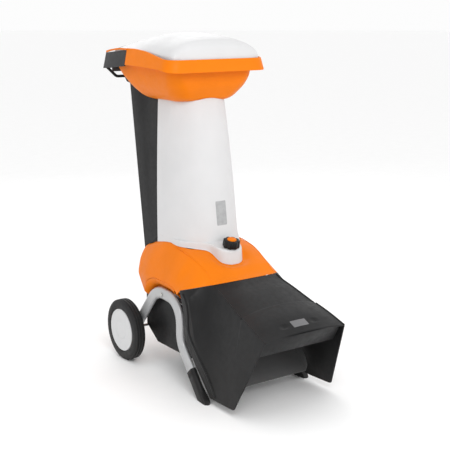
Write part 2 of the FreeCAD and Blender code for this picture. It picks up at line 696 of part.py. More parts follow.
def make_back_shell():
    low = 440.0
    high = 1150.0
    outer = loft([back_section(low, 0), back_section(high, 0)])
    inner = loft([back_section(low, TOWER_WALL), back_section(high, TOWER_WALL)])
    open_front = []
    for z in (low, high):
        y_open = tower_seam_y(z) + 16
        half = back_half(z) - TOWER_WALL
        open_front.append(polygon_wire([(-half, -300, z), (half, -300, z), (half, y_open, z), (-half, y_open, z)]))
    inner = inner.cut(box(-200, 200, -400, 300, BACK_TOP_Z - TOWER_WALL, high + 10))
    shell = outer.cut(inner).cut(loft(open_front, ruled=True))
    shell = shell.cut(box(-200, 200, -400, 300, BACK_TOP_Z, high + 10))
    shell = shell.cut(bowl_solid(0)).cut(cover_surface(FOOT_GAP))
    for x0 in (64, -76):
        arm = side_prism([(HINGE_Y, HINGE_Z - KNUCKLE_R), (11, 464), (18, 500), (HINGE_Y, HINGE_Z + KNUCKLE_R)],
                         x0, x0 + 12)
        shell = shell.fuse([arm, cyl(KNUCKLE_R, V(x0, HINGE_Y, HINGE_Z), X_AXIS, 12)])
    for x0 in (92, -108):
        seat = side_prism([(152, 1112), (BAR_Y - 6, 1116), (BAR_Y + 8, BAR_Z - 8), (BAR_Y + 8, BAR_Z + 9),
                           (BAR_Y - 8, BAR_Z + 9), (152, 1124)], x0, x0 + 16)
        shell = shell.fuse(seat)
    shell = shell.cut(cyl(BAR_R, V(-150, BAR_Y, BAR_Z), X_AXIS, 300))
    shell = shell.cut(cyl(HINGE_PIN_R + RUNNING_GAP, V(-100, HINGE_Y, HINGE_Z), X_AXIS, 200))
    cable_window = on_back(box(-30, 30, -20, 20, -40, 40))
    add("tower_back_shell", largest(shell.cut(cable_window)))


def make_feed_tube():
    outer = []
    inner = []
    for z, half, y_front, y_rear in ((422, 76, -260, -100), (1064, 84, -238, -96)):
        outer.append(rounded_plan(half, y_front, y_rear, 20, z))
        inner.append(rounded_plan(half - 3, y_front + 3, y_rear - 3, 17, z))
    flange = rounded_prism(100, -300, -86, 20, 421, 425).cut(rounded_prism(73, -257, -103, 17, 400, 440))
    add("feed_tube", loft(outer).cut(loft(inner)).fuse(flange).removeSplitter())


def make_shell_screws():
    """Screws along the joint of the two tower shells, from the back shell into the front shell."""
    screws = []
    for z in (524, 616, 718, 820, 925, 1035):
        y = tower_seam_y(z) + 8
        head = cyl(4.0, V(-back_half(z) - 0.2, y, z), X_AXIS, 2.4)
        screws.append(head.fuse(cyl(2.0, V(-back_half(z) - 0.2, y, z), X_AXIS, 9)))
    left = Part.makeCompound(screws)
    right = mirror_x(left)
    group = Part.makeCompound(left.Solids + right.Solids)
    NODES["tower_back_shell"] = NODES["tower_back_shell"].cut(group)
    add("shell_screws", group)


# ---- hopper -----------------------------------------------------------------------------
# Levels of the bowl: height, half width, front Y, rear Y, corner radius.
BOWL_LEVELS = [
    (1062, 108, -246, 6, 60), (1070, 128, -266, 30, 64), (1092, 153, -282, 54, 66),
    (1127, 175, -301, 84, 62), (1160, 186, -308, 112, 54), (1206, 192, -310, 150, 50),
]
LIP_Z = 1178.0                # sill of the mouth at the back of the bowl


def bowl_solid(inset):
    wires = []
    for z, half, y_front, y_rear, radius in BOWL_LEVELS:
        wires.append(rounded_plan(half - inset, y_front + inset, y_rear - inset, radius - inset, z))
    return loft(wires)


def make_bowl():
    inner = bowl_solid(3.5)
    inner.translate(V(0, 0, 3.5))
    bowl = bowl_solid(0).cut(inner)
    bowl = bowl.cut(rounded_prism(85, -239, -95, 20, 1030, 1100))
    bowl = bowl.cut(box(-176, 176, 60, 200, LIP_Z, 1300))
    add("hopper_bowl", largest(bowl).removeSplitter())


def rim_band(out, thick=None, z0=1170, z1=1265):
    """Flared band of the rim: solid inside its outer face, or a wall of the given thickness."""
    low = rounded_plan(RIM_HALF + out, RIM_FRONT_Y - out, RIM_REAR_Y + out, RIM_FRONT_RADIUS + out, z0,
                       RIM_REAR_RADIUS + out)
    high = rounded_plan(RIM_HALF - RIM_FLARE + out, RIM_FRONT_Y + RIM_FLARE - out, RIM_REAR_Y - 7 + out,
                        RIM_FRONT_RADIUS - 4 + out, z1, RIM_REAR_RADIUS - 2 + out)
    solid = loft([low, high])
    if thick is None:
        return solid
    return solid.cut(rim_band(out - thick, None, z0, z1))


def make_rim():
    side = side_prism([(-400, 1176), (-338, 1178), (-262, 1188), (-122, 1193), (-16, 1195), (-16, 1251),
                       (6, 1251), (165, 1236), (172, 1238), (96, 1252), (23, 1258), (-59, 1258),
                       (-150, 1252), (-247, 1236), (-310, 1226), (-400, 1223)], -300, 300)
    rim = largest(rim_band(0, 3.5).common(side).cut(box(-176, 176, 60, 300, 1100, 1300)))
    shelf = rim_band(-3).common(box(-300, 300, -400, 40, 1197, 1200)).cut(bowl_solid(-0.2))
    rim = rim.fuse(largest(shelf))
    add("hopper_rim", largest(rim).removeSplitter())


# Stations of the dome: Y, half width, height of its edge, height of its crown, steepness of its flanks.
DOME_STATIONS = [
    (-331, 158, 1225, 1236, 0.7), (-323, 187, 1229, 1265, 0.66), (-300, 197, 1233, 1292, 0.66),
    (-240, 202, 1241, 1310, 0.75), (-150, 204, 1252, DOME_TOP_Z, 0.95), (-40, 204, 1257, 1310, 1.15),
    (92, 202, 1252, 1286, 1.4),
]
DOME_EXPONENT = 2.5           # flatness of the dome's crown across the machine
DOME_FOOT_Z = 1214.0
DOME_WALL = 5.0


def dome_height(station, x, half):
    y, full_half, edge_z, top_z, steepness = station
    return edge_z + (top_z - edge_z) * max(0.0, 1 - abs(x / half) ** DOME_EXPONENT) ** steepness


def dome_section(station, inset):
    """Arched section of the dome at one station, closed along its bottom."""
    y = station[0]
    half = station[1] - inset
    points = []
    for i in range(13):
        x = half * math.sin(math.pi / 2 * (i - 6) / 6)
        points.append(V(x, y, dome_height(station, x, half) - inset))
    curve = Part.BSplineCurve()
    curve.interpolate(points)
    foot_z = DOME_FOOT_Z - inset
    low_left = V(-half, y, foot_z)
    low_right = V(half, y, foot_z)
    return Part.Wire([Part.makeLine(low_left, points[0]), curve.toShape(), Part.makeLine(points[-1], low_right),
                      Part.makeLine(low_right, low_left)])


def make_dome():
    outer = loft([dome_section(station, 0) for station in DOME_STATIONS])
    front_y = DOME_STATIONS[0][0] + DOME_WALL
    shorter = [(front_y,) + DOME_STATIONS[0][1:]] + DOME_STATIONS[1:]
    inner = loft([dome_section(station, DOME_WALL) for station in shorter])
    shell = outer.cut(inner).cut(box(-176, 176, 60, 120, 1100, 1246))
    shell = shell.common(rim_band(-3.8).fuse(box(-300, 300, -400, 200, 1262, 1400)))
    add("hopper_dome", largest(shell))


def make_mouth_frame():
    side = side_prism([(-15, 1190), (-15, 1250), (6, 1250), (157, 1235), (157, 1174)], -300, 300)
    frame = rim_band(-0.2, 6).common(side)
    frame = frame.cut(box(-176, 176, -300, 300, 1100, 1300))
    last = DOME_STATIONS[-1]
    arch = [(186, 1246)] + [(x, dome_height(last, x, last[1]) - 0.4) for x in (186, 155, 125, 95, 65, 35, 0)]
    outline = [(x, 93, z) for x, z in arch] + [(-x, 93, z) for x, z in reversed(arch[:-1])]
    header = Part.Face(polygon_wire(outline)).extrude(V(0, 4, 0))
    cheek = side_prism([(66, 1200), (66, 1250), (97, 1250), (150, 1232), (150, 1196), (112, 1182)], 178, 186)
    sill = side_prism([(139, LIP_Z + 0.5), (139, LIP_Z + 4), (153, LIP_Z + 4), (153, 1160), (151, 1160),
                       (151, LIP_Z + 0.5)], -186, 186)
    frame = frame.fuse([header, cheek, mirror_x(cheek), sill])
    bridge = box(184, 214, 100, 112, 1205, 1225)
    frame = frame.fuse([bridge, mirror_x(bridge)])
    for neighbour in ("hopper_bowl", "hopper_rim", "hopper_dome"):
        frame = frame.cut(NODES[neighbour])
    frame = frame.cut(cyl(ROD_R, V(-184, ROD_Y, ROD_Z), X_AXIS, 368))
    add("mouth_frame", largest(frame).removeSplitter())


def make_flaps():
    add("flap_rod", cyl(ROD_R, V(-184, ROD_Y, ROD_Z), X_AXIS, 368))
    width = 112.0
    for i, name in enumerate(("flap_left", "flap_middle", "flap_right")):
        x0 = (i - 1.5) * (width + 2) + 1
        flap = box(x0, x0 + width, ROD_Y - 1.5, ROD_Y + 1.5, LIP_Z + 10, ROD_Z)
        flap = flap.fuse(cyl(6, V(x0, ROD_Y, ROD_Z), X_AXIS, width))
        flap = flap.cut(cyl(ROD_R + RUNNING_GAP, V(-200, ROD_Y, ROD_Z), X_AXIS, 400))
        add(name, flap.removeSplitter())


def make_handle():
    corners = [V(-216, 150, 1184), V(-152, BAR_Y, BAR_Z), V(152, BAR_Y, BAR_Z), V(216, 150, 1184)]
    path = fillet_path(corners, [26.0, 26.0])
    profile = Part.Wire([Part.makeCircle(BAR_R, corners[0], (corners[1] - corners[0]).normalize())])
    bar = path.makePipeShell([profile], True, False)
    add("handle_bar", bar.cut(NODES["mouth_frame"]).cut(NODES["hopper_rim"]))


# ---- switch box on the back of the tower ------------------------------------------------
def on_back(shape):
    """Place a shape drawn against the plane Y = 0 onto the back of the tower."""
    shape.rotate(V(0, 0, 0), X_AXIS, -BACK_LEAN_DEG)
    shape.translate(V(0, back_rear_y(SWITCH_Z), SWITCH_Z))
    return shape


def make_switch_box():
    depth = 26.0
    body = box(-50, 50, 0.2, depth, -56, 56)
    body = body.makeFillet(6, [e for e in body.Edges if e.BoundBox.YMin > depth - 1])
    body = body.cut(box(-47, 47, 0, depth - 3, -53, 53))
    for x, button_r in ((-22, STOP_R), (22, START_R)):
        body = body.cut(cyl(button_r + 0.3, V(x, 0, BUTTON_UP), Y_AXIS, 60))
    socket = box(-27, 27, 1.5, depth, -43, -11)
    recess = box(-24, 24, 6, depth + 2, -40, -14)
    body = body.cut(socket)
    add("switch_box", on_back(body.removeSplitter()))
    pins = []
    for x in (-9.5, 0, 9.5):
        pins.append(box(x - 1, x + 1, 5, 16, -29, -24))
    inlet = socket.cut(recess)
    inlet = inlet.cut(Part.makeCompound(pins))
    add("inlet_socket", on_back(inlet))
    add("inlet_pins", on_back(Part.makeCompound(pins)))
    for name, x, button_r in (("stop_button", -22, STOP_R), ("start_button", 22, START_R)):
        head = cyl(button_r, V(x, 20, BUTTON_UP), Y_AXIS, 11)
        flange = cyl(button_r + 2.5, V(x, 18.5, BUTTON_UP), Y_AXIS, 4)
        add(name, on_back(head.fuse(flange).removeSplitter()))


# ---- lock knob and tilt hinge -----------------------------------------------------------
def make_lock():
    washer = ring(14, SCREW_R + 0.3, lock_point(0.1), lock_axis(), 2.4)
    add("lock_washer", washer)
    knob = cyl(KNOB_R - 3, V(0, 0, 0), Z_AXIS, KNOB_HEIGHT)
    for i in range(KNOB_LOBES):
        angle = 2 * math.pi * i / KNOB_LOBES
        lobe = cyl(8.5, V((KNOB_R - 8.5) * math.cos(angle), (KNOB_R - 8.5) * math.sin(angle), 0), Z_AXIS, KNOB_HEIGHT)
        knob = knob.fuse(lobe)
    knob = knob.cut(cyl(18, V(0, 0, KNOB_HEIGHT - 4), Z_AXIS, 10)).cut(cyl(SCREW_R, V(0, 0, -1), Z_AXIS, 21))
    add("lock_knob", at_lock(knob.removeSplitter(), 2.6))
    cap = cyl(17.9, V(0, 0, 0), Z_AXIS, 6)
    crown = Part.makeSphere(24, V(0, 0, -6)).common(cyl(17.9, V(0, 0, 4), Z_AXIS, 20))
    add("knob_cap", at_lock(cap.fuse(crown).removeSplitter(), 2.6 + KNOB_HEIGHT - 4))
    screw = cyl(SCREW_R, V(0, 0, 0), Z_AXIS, 96)
    add("lock_screw", at_lock(screw, 2.6 + 20 - 96))
    insert = box(-24, 24, -20, 20, 0, 10).cut(cyl(LOCK_BORE_R, V(0, 0, -1), Z_AXIS, 12))
    insert = insert.cut(Part.makeCone(LOCK_BORE_R, LOCK_BORE_R + 5, 6, V(0, 0, 4.01), Z_AXIS))
    hanger = box(20, 24, -20, 20, 4, 70)
    insert = at_lock(insert.fuse([hanger, mirror_x(hanger)]).removeSplitter(), -78)
    under_cover = bonnet(COVER_STATIONS, COVER_WALL)
    add("lock_insert", largest(insert.common(under_cover)))


def at_lock(shape, distance):
    """Place a shape drawn about +Z onto the axis of the lock screw."""
    shape.rotate(V(0, 0, 0), X_AXIS, KNOB_TILT_DEG)
    shape.translate(lock_point(distance))
    return shape


def make_hinge():
    plate = box(-88, 88, HINGE_Y - 5, HINGE_Y - 2, 400, 440)
    ears = []
    for x0 in (50, -62):
        ear = side_prism([(HINGE_Y - 5, 436), (HINGE_Y - KNUCKLE_R + 0.5, HINGE_Z), (HINGE_Y + KNUCKLE_R, HINGE_Z),
                          (HINGE_Y + 3, 430), (HINGE_Y - 2, 425)], x0, x0 + 12)
        ears += [ear, cyl(KNUCKLE_R, V(x0, HINGE_Y, HINGE_Z), X_AXIS, 12)]
    bracket = fuse_all([plate] + ears)
    bracket = bracket.cut(cyl(HINGE_PIN_R, V(-100, HINGE_Y, HINGE_Z), X_AXIS, 200))
    add("hinge_bracket", bracket)
    add("hinge_pin", cyl(HINGE_PIN_R, V(-79, HINGE_Y, HINGE_Z), X_AXIS, 158))


def export_all():
    os.makedirs("parts", exist_ok=True)
    for name in sorted(NODES):
        shape = NODES[name].copy()
        shape.translate(V(0, ORIGIN_SHIFT, 0))
        shape.exportStep("parts/" + name + ".step")
        print(name, len(shape.Solids), shape.isValid(), round(shape.Volume / 1000, 1))


for make in (make_legs, make_axle, make_wheels, make_housing, make_cover, make_hood, make_chute, make_motor,
             make_rotor, make_front_shell, make_back_shell, make_feed_tube, make_shell_screws, make_bowl,
             make_rim, make_dome, make_mouth_frame, make_flaps, make_handle, make_switch_box, make_lock,
             make_hinge):
    make()
export_all()
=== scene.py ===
"""Looks of an upright electric garden chipper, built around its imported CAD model.

Lengths in the shape tables are millimetres, with Y = 0 at the wheel axle, as in the CAD source.
put() turns them into metres in the row frame.
"""
import math

import bmesh
import bpy
import numpy as np
from mathutils import Matrix, Vector
from mathutils.bvhtree import BVHTree


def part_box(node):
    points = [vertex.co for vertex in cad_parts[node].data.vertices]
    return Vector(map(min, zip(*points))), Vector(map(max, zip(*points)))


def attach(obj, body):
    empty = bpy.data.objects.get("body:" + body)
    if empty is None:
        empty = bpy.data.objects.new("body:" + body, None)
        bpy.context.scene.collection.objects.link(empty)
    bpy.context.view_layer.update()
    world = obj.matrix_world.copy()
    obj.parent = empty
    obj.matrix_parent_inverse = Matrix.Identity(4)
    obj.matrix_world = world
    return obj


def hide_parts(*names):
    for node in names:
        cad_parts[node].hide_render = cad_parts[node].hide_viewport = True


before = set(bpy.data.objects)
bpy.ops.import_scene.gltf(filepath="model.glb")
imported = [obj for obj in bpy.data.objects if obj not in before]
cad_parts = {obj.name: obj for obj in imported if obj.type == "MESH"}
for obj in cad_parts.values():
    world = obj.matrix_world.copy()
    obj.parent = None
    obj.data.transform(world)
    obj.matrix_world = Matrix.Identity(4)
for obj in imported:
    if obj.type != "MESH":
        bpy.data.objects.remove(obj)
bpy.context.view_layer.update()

axle_low, axle_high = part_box("axle")
AXLE_Y = (axle_low.y + axle_high.y) / 2
AXLE_Z = (axle_low.z + axle_high.z) * 500
TYRE_LOW, TYRE_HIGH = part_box("tyre_left")
WHEEL_R = (TYRE_HIGH.z - TYRE_LOW.z) * 500
WHEEL_OUTER_X = -TYRE_LOW.x * 1000
TYRE_WIDTH = (TYRE_HIGH.x - TYRE_LOW.x) * 1000
DOME_TOP_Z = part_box("hopper_dome")[1].z * 1000
DECK_Z, FLANK_X = 430.0, 222.0


def put(points):
    """Millimetres from the axle to metres in the row frame."""
    placed = np.asarray(points, float) / 1000
    placed[..., 1] += AXLE_Y
    return placed


# ---- numeric helpers
def pchip(x, values, at):
    """Smooth interpolation without overshoot, column by column."""
    x = np.asarray(x, float)
    values = np.asarray(values, float)
    flat = values.reshape(len(x), -1)
    step = np.diff(x)[:, None]
    slope = np.diff(flat, axis=0) / step
    tangent = np.zeros_like(flat)
    tangent[0], tangent[-1] = slope[0], slope[-1]
    for i in range(1, len(x) - 1):
        same = slope[i - 1] * slope[i] > 0
        total = np.where(same, slope[i - 1] + slope[i], 1.0)
        tangent[i] = np.where(same, 2 * slope[i - 1] * slope[i] / total, 0.0)
    at = np.atleast_1d(np.asarray(at, float))
    i = np.clip(np.searchsorted(x, at) - 1, 0, len(x) - 2)
    h = (x[i + 1] - x[i])[:, None]
    t = ((at - x[i]) / h[:, 0])[:, None]
    result = ((1 + 2 * t) * (1 - t) ** 2 * flat[i] + t * (1 - t) ** 2 * h * tangent[i]
              + t * t * (3 - 2 * t) * flat[i + 1] + t * t * (t - 1) * h * tangent[i + 1])
    return result.reshape((len(at),) + values.shape[1:])


def line_value(line, at):
    """Second coordinate of a line of (place, value) points, smoothly interpolated."""
    places, values = zip(*line)
    return float(pchip(places, values, [at])[0])


def smoothstep(low, high, value):
    """0 below low and 1 above high, with a smooth rise between them."""
    t = np.clip((np.asarray(value, float) - low) / (high - low), 0, 1)
    return t * t * (3 - 2 * t)


def smooth_max(a, b, blend):
    """The larger of two values, blended where they are close."""
    h = np.clip(blend - np.abs(a - b), 0, None) / blend
    return np.maximum(a, b) + h * h * blend / 4


def soft_corner(before, corner, after, cut, most, steps):
    """Points of a smooth arc that cuts a corner, and at most a share of its two sides."""
    back, ahead = before - corner, after - corner
    cut = min(cut, most * np.linalg.norm(back), most * np.linalg.norm(ahead))
    first = corner + back / np.linalg.norm(back) * cut
    last = corner + ahead / np.linalg.norm(ahead) * cut
    shares = [k / steps for k in range(steps + 1)]
    return [first * (1 - t) ** 2 + corner * 2 * t * (1 - t) + last * t * t for t in shares]


def rounded_line(points, cuts, arc_steps=6, run_steps=4):
    """Polyline with each inner corner replaced by a smooth arc that starts cut before it."""
    points = [np.asarray(p, float) for p in points]
    samples = []
    start = points[0]
    for i in range(1, len(points) - 1):
        arc = soft_corner(points[i - 1], points[i], points[i + 1], cuts[i - 1], 0.45, arc_steps)
        samples += [start + (arc[0] - start) * k / run_steps for k in range(run_steps)]
        samples += arc[:-1]
        start = arc[-1]
    samples += [start + (points[-1] - start) * k / run_steps for k in range(run_steps + 1)]
    return np.array(samples)


def rounded_plan(half, y_front, y_rear, front_r, rear_r, arc=10, side=12, end=10):
    """Rounded rectangle from the middle of its back, clockwise seen from above, closed."""
    def turn(cx, cy, radius, start):
        angles = np.radians(start + np.linspace(0, 90, arc + 1))
        return np.stack([cx + radius * np.cos(angles), cy + radius * np.sin(angles)], 1)

    right_rear = turn(half - rear_r, y_rear - rear_r, rear_r, 0)[::-1]
    right_front = turn(half - front_r, y_front + front_r, front_r, -90)[::-1]
    xs = np.linspace(0, half - rear_r, end, endpoint=False)
    right = [np.array([[x, y_rear] for x in xs]), right_rear]
    ys = np.linspace(right_rear[-1][1], right_front[0][1], side + 1)[1:-1]
    right.append(np.array([[half, y] for y in ys]))
    right.append(right_front)
    xs = np.linspace(right_front[-1][0], 0, end + 1)[1:]
    right.append(np.array([[x, y_front] for x in xs]))
    right = np.concatenate(right)
    left = right[1:-1][::-1] * [-1, 1]
    return np.concatenate([right, left])


# ---- mesh helpers
def mesh_object(name, points, faces):
    """Object from millimetre points, with merged doubles and outward faces."""
    mesh = bpy.data.meshes.new(name)
    mesh.from_pydata([tuple(p) for p in put(points)], [], [tuple(int(i) for i in f) for f in faces])
    tidy_mesh(mesh, 2e-6)
    obj = bpy.data.objects.new(name, mesh)
    bpy.context.scene.collection.objects.link(obj)
    return obj


def tidy_mesh(mesh, distance, flatten=False):
    """Merge doubles, drop slivers, or join flat faces, and turn the faces outward."""
    bm = bmesh.new()
    bm.from_mesh(mesh)
    bmesh.ops.remove_doubles(bm, verts=bm.verts, dist=distance)
    if flatten:
        bmesh.ops.dissolve_limit(bm, angle_limit=math.radians(1.0), verts=bm.verts, edges=bm.edges)
    else:
        bmesh.ops.dissolve_degenerate(bm, edges=bm.edges, dist=distance)
    bmesh.ops.recalc_face_normals(bm, faces=bm.faces)
    bm.to_mesh(mesh)
    bm.free()


def settle(obj):
    """Apply all modifiers of an object."""
    bpy.context.view_layer.update()
    graph = bpy.context.evaluated_depsgraph_get()
    mesh = bpy.data.meshes.new_from_object(obj.evaluated_get(graph))
    obj.modifiers.clear()
    obj.data = mesh
    return obj


def combine(obj, other, operation="DIFFERENCE"):
    """Exact boolean with another object, which is then removed."""
    modifier = obj.modifiers.new("boolean", "BOOLEAN")
    modifier.operation = operation
    modifier.object = other
    modifier.solver = "EXACT"
    settle(obj)
    bpy.data.objects.remove(other)
    tidy_mesh(obj.data, 5e-6)
    return obj


def bevel(obj, width, angle=35, segments=2):
    """Round the edges that are sharper than an angle in degrees."""
    modifier = obj.modifiers.new("bevel", "BEVEL")
    modifier.width = width / 1000
    modifier.segments = segments
    modifier.limit_method = "ANGLE"
    modifier.angle_limit = math.radians(angle)
    modifier.use_clamp_overlap = True
    return settle(obj)


def join(obj, *others):
    """Add other objects' meshes to an object and remove them."""
    bm = bmesh.new()
    bm.from_mesh(obj.data)
    for other in others:
        bm.from_mesh(other.data)
        bpy.data.objects.remove(other)
    bm.to_mesh(obj.data)
    bm.free()
    return obj


def grid_faces(rows, columns, closed=False, start=0):
    """Faces of a grid of points; closed grids wrap round their columns."""
    faces = []
    for i in range(rows - 1):
        for j in range(columns if closed else columns - 1):
            k = (j + 1) % columns
            faces.append((start + i * columns + j, start + i * columns + k,
                          start + (i + 1) * columns + k, start + (i + 1) * columns + j))
    return faces


def normals(grid, closed):
    """Unit normal at each point of a grid."""
    if closed:
        wrapped = np.concatenate([grid[:, -2:], grid, grid[:, :2]], 1)
        across = np.gradient(wrapped, axis=1)[:, 2:-2]
    else:
        across = np.gradient(grid, axis=1)
    along = np.gradient(grid, axis=0)
    n = np.cross(across, along)
    length = np.linalg.norm(n, axis=2, keepdims=True)
    return n / np.where(length < 1e-9, 1, length)


def shell(name, grid, thickness, closed=False, flip=False, inner=None):
    """Closed sheet between its outer face and an inner one, by default at an even distance."""
    if inner is None:
        inner = grid + normals(grid, closed) * (thickness if flip else -thickness)
    rows, columns = grid.shape[:2]
    count = rows * columns
    points = np.concatenate([grid.reshape(-1, 3), inner.reshape(-1, 3)])
    faces = grid_faces(rows, columns, closed)
    faces += [f[::-1] for f in grid_faces(rows, columns, closed, count)]
    wrap = columns if closed else columns - 1
    for j in range(wrap):
        k = (j + 1) % columns
        last = (rows - 1) * columns
        faces.append((j, j + count, k + count, k))
        faces.append((last + j, last + k, last + k + count, last + j + count))
    if not closed:
        for i in range(rows - 1):
            a, b = i * columns, (i + 1) * columns
            faces.append((a, b, b + count, a + count))
            a, b = a + columns - 1, b + columns - 1
            faces.append((a, a + count, b + count, b))
    return mesh_object(name, points, faces)


def solid(name, grid, closed=True):
    """Closed solid of ring sections, capped at both ends."""
    rows, columns = grid.shape[:2]
    faces = grid_faces(rows, columns, closed)
    faces += [tuple(range(columns))[::-1], tuple(range((rows - 1) * columns, rows * columns))]
    return mesh_object(name, grid.reshape(-1, 3), faces)


def side_prism(name, outline, x0, x1):
    """Solid of a (y, z) outline between two X."""
    outline = np.asarray(outline, float)
    rows = [np.column_stack([np.full(len(outline), x), outline]) for x in (x0, x1)]
    return solid(name, np.array(rows))


def plan_prism(name, outline, z0, z1):
    """Solid of an (x, y) outline between two Z."""
    outline = np.asarray(outline, float)
    rows = [np.column_stack([outline, np.full(len(outline), z)]) for z in (z0, z1)]
    return solid(name, np.array(rows))


def rounded_outline(corners, radii, steps=6):
    """Closed outline with rounded corners."""
    corners = [np.asarray(c, float) for c in corners]
    samples = []
    for i, corner in enumerate(corners):
        after = corners[(i + 1) % len(corners)]
        samples += soft_corner(corners[i - 1], corner, after, radii[i], 0.48, steps)
    return np.array(samples)


def lathe_axle(name, profile, steps=120):
    """Solid of revolution about the axle; the profile is (x, radius), closed."""
    profile = np.asarray(profile, float)
    rows = []
    for angle in np.linspace(0, 2 * np.pi, steps, endpoint=False):
        rows.append(np.stack([profile[:, 0], profile[:, 1] * math.cos(angle),
                              AXLE_Z + profile[:, 1] * math.sin(angle)], 1))
    rows = np.array(rows + rows[:1])
    return mesh_object(name, rows.reshape(-1, 3), grid_faces(len(rows), len(profile), True))


def frames_along(path, side):
    """Tangent and two cross directions at each point of a path."""
    tangent = np.gradient(path, axis=0)
    tangent /= np.linalg.norm(tangent, axis=1, keepdims=True)
    across = np.cross(tangent, side)
    across /= np.linalg.norm(across, axis=1, keepdims=True)
    return tangent, across, np.cross(across, tangent)


def sweep(name, path, profile, side=(1, 0, 0)):
    """Solid of a profile (along 'across', along 'side') carried along a path."""
    path = np.asarray(path, float)
    tangent, across, sideways = frames_along(path, side)
    profile = np.asarray(profile, float)
    grid = path[:, None] + across[:, None] * profile[None, :, :1] + sideways[:, None] * profile[None, :, 1:]
    return solid(name, grid)


def filleted_path(corners, radii, steps=14, run=10):
    """Straight runs joined by true arcs."""
    corners = [np.asarray(c, float) for c in corners]
    points = []
    start = corners[0]
    for i in range(1, len(corners) - 1):
        corner = corners[i]
        into = (corner - corners[i - 1]) / np.linalg.norm(corner - corners[i - 1])
        out = (corners[i + 1] - corner) / np.linalg.norm(corners[i + 1] - corner)
        turn = math.acos(max(-1.0, min(1.0, float(into @ out))))
        radius = radii[i - 1]
        tangent = radius * math.tan(turn / 2)
        first = corner - into * tangent
        inward = (out - into) / np.linalg.norm(out - into)
        centre = corner + inward * radius / math.cos(turn / 2)
        points += [start + (first - start) * k / run for k in range(run)]
        arm = first - centre
        for k in range(steps + 1):
            angle = turn * k / steps
            points.append(centre + arm * math.cos(angle) + into * radius * math.sin(angle))
        start = points.pop()
    points += [start + (corners[-1] - start) * k / run for k in range(run + 1)]
    return np.array(points)


def flat_oval(depth, thick, steps=12):
    """Section of a flat-sided oval tube."""
    r = thick / 2
    half = depth / 2 - r
    angles = np.linspace(-np.pi / 2, np.pi / 2, steps + 1)
    right = np.stack([half + r * np.cos(angles), r * np.sin(angles)], 1)
    return np.concatenate([right, -right])


def circle(radius, steps=24):
    """Section of a round bar."""
    angles = np.linspace(0, 2 * np.pi, steps, endpoint=False)
    return np.stack([radius * np.cos(angles), radius * np.sin(angles)], 1)


def mirrored(obj, name):
    """Mirror image of an object across the plane X = 0."""
    mesh = obj.data.copy()
    mesh.name = name
    mesh.transform(Matrix.Scale(-1, 4, (1, 0, 0)))
    mesh.flip_normals()
    copy = bpy.data.objects.new(name, mesh)
    bpy.context.scene.collection.objects.link(copy)
    return copy


def dress(obj, body, look, nodes=(), sharp=32):
    """Shading, material, body and the CAD nodes that a finished piece stands for."""
    for polygon in obj.data.polygons:
        polygon.use_smooth = True
    obj.data.set_sharp_from_angle(angle=math.radians(sharp))
    obj.data.materials.clear()
    obj.data.materials.append(look)
    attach(obj, body)
    if nodes:
        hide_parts(*nodes)
    return obj


def dress_pair(left, twin_name, bodies, look, node, sharp=40):
    """Dress a left piece and its mirror image, each for its own CAD node."""
    right = mirrored(left, twin_name)
    dress(left, bodies[0], look, (node + "_left",), sharp)
    dress(right, bodies[1], look, (node + "_right",), sharp)


def softened(name, node, body, look, width):
    """Copy of a CAD node with small rounded edges, which stands for it."""
    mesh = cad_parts[node].data.copy()
    mesh.name = name
    tidy_mesh(mesh, 1e-5, flatten=True)
    obj = bpy.data.objects.new(name, mesh)
    bpy.context.scene.collection.objects.link(obj)
    bevel(obj, width)
    return dress(obj, body, look, (node,))


def surface_tree(grid):
    """Search tree of a surface, for heights and flanks."""
    return BVHTree.FromPolygons([tuple(p) for p in grid.reshape(-1, 3)], grid_faces(*grid.shape[:2]))


def top_z(tree, x, y):
    """Height of a surface over a point of the plan, or the deck's height beside it."""
    hit = tree.ray_cast(Vector((x, y, 900)), Vector((0, 0, -1)))
    return hit[0].z if hit[0] is not None else DECK_Z


def left_x(tree, y, z):
    """X of a surface's left flank in the side view, or the widest flank outside it."""
    hit = tree.ray_cast(Vector((-600, y, z)), Vector((1, 0, 0)))
    return hit[0].x if hit[0] is not None else -FLANK_X


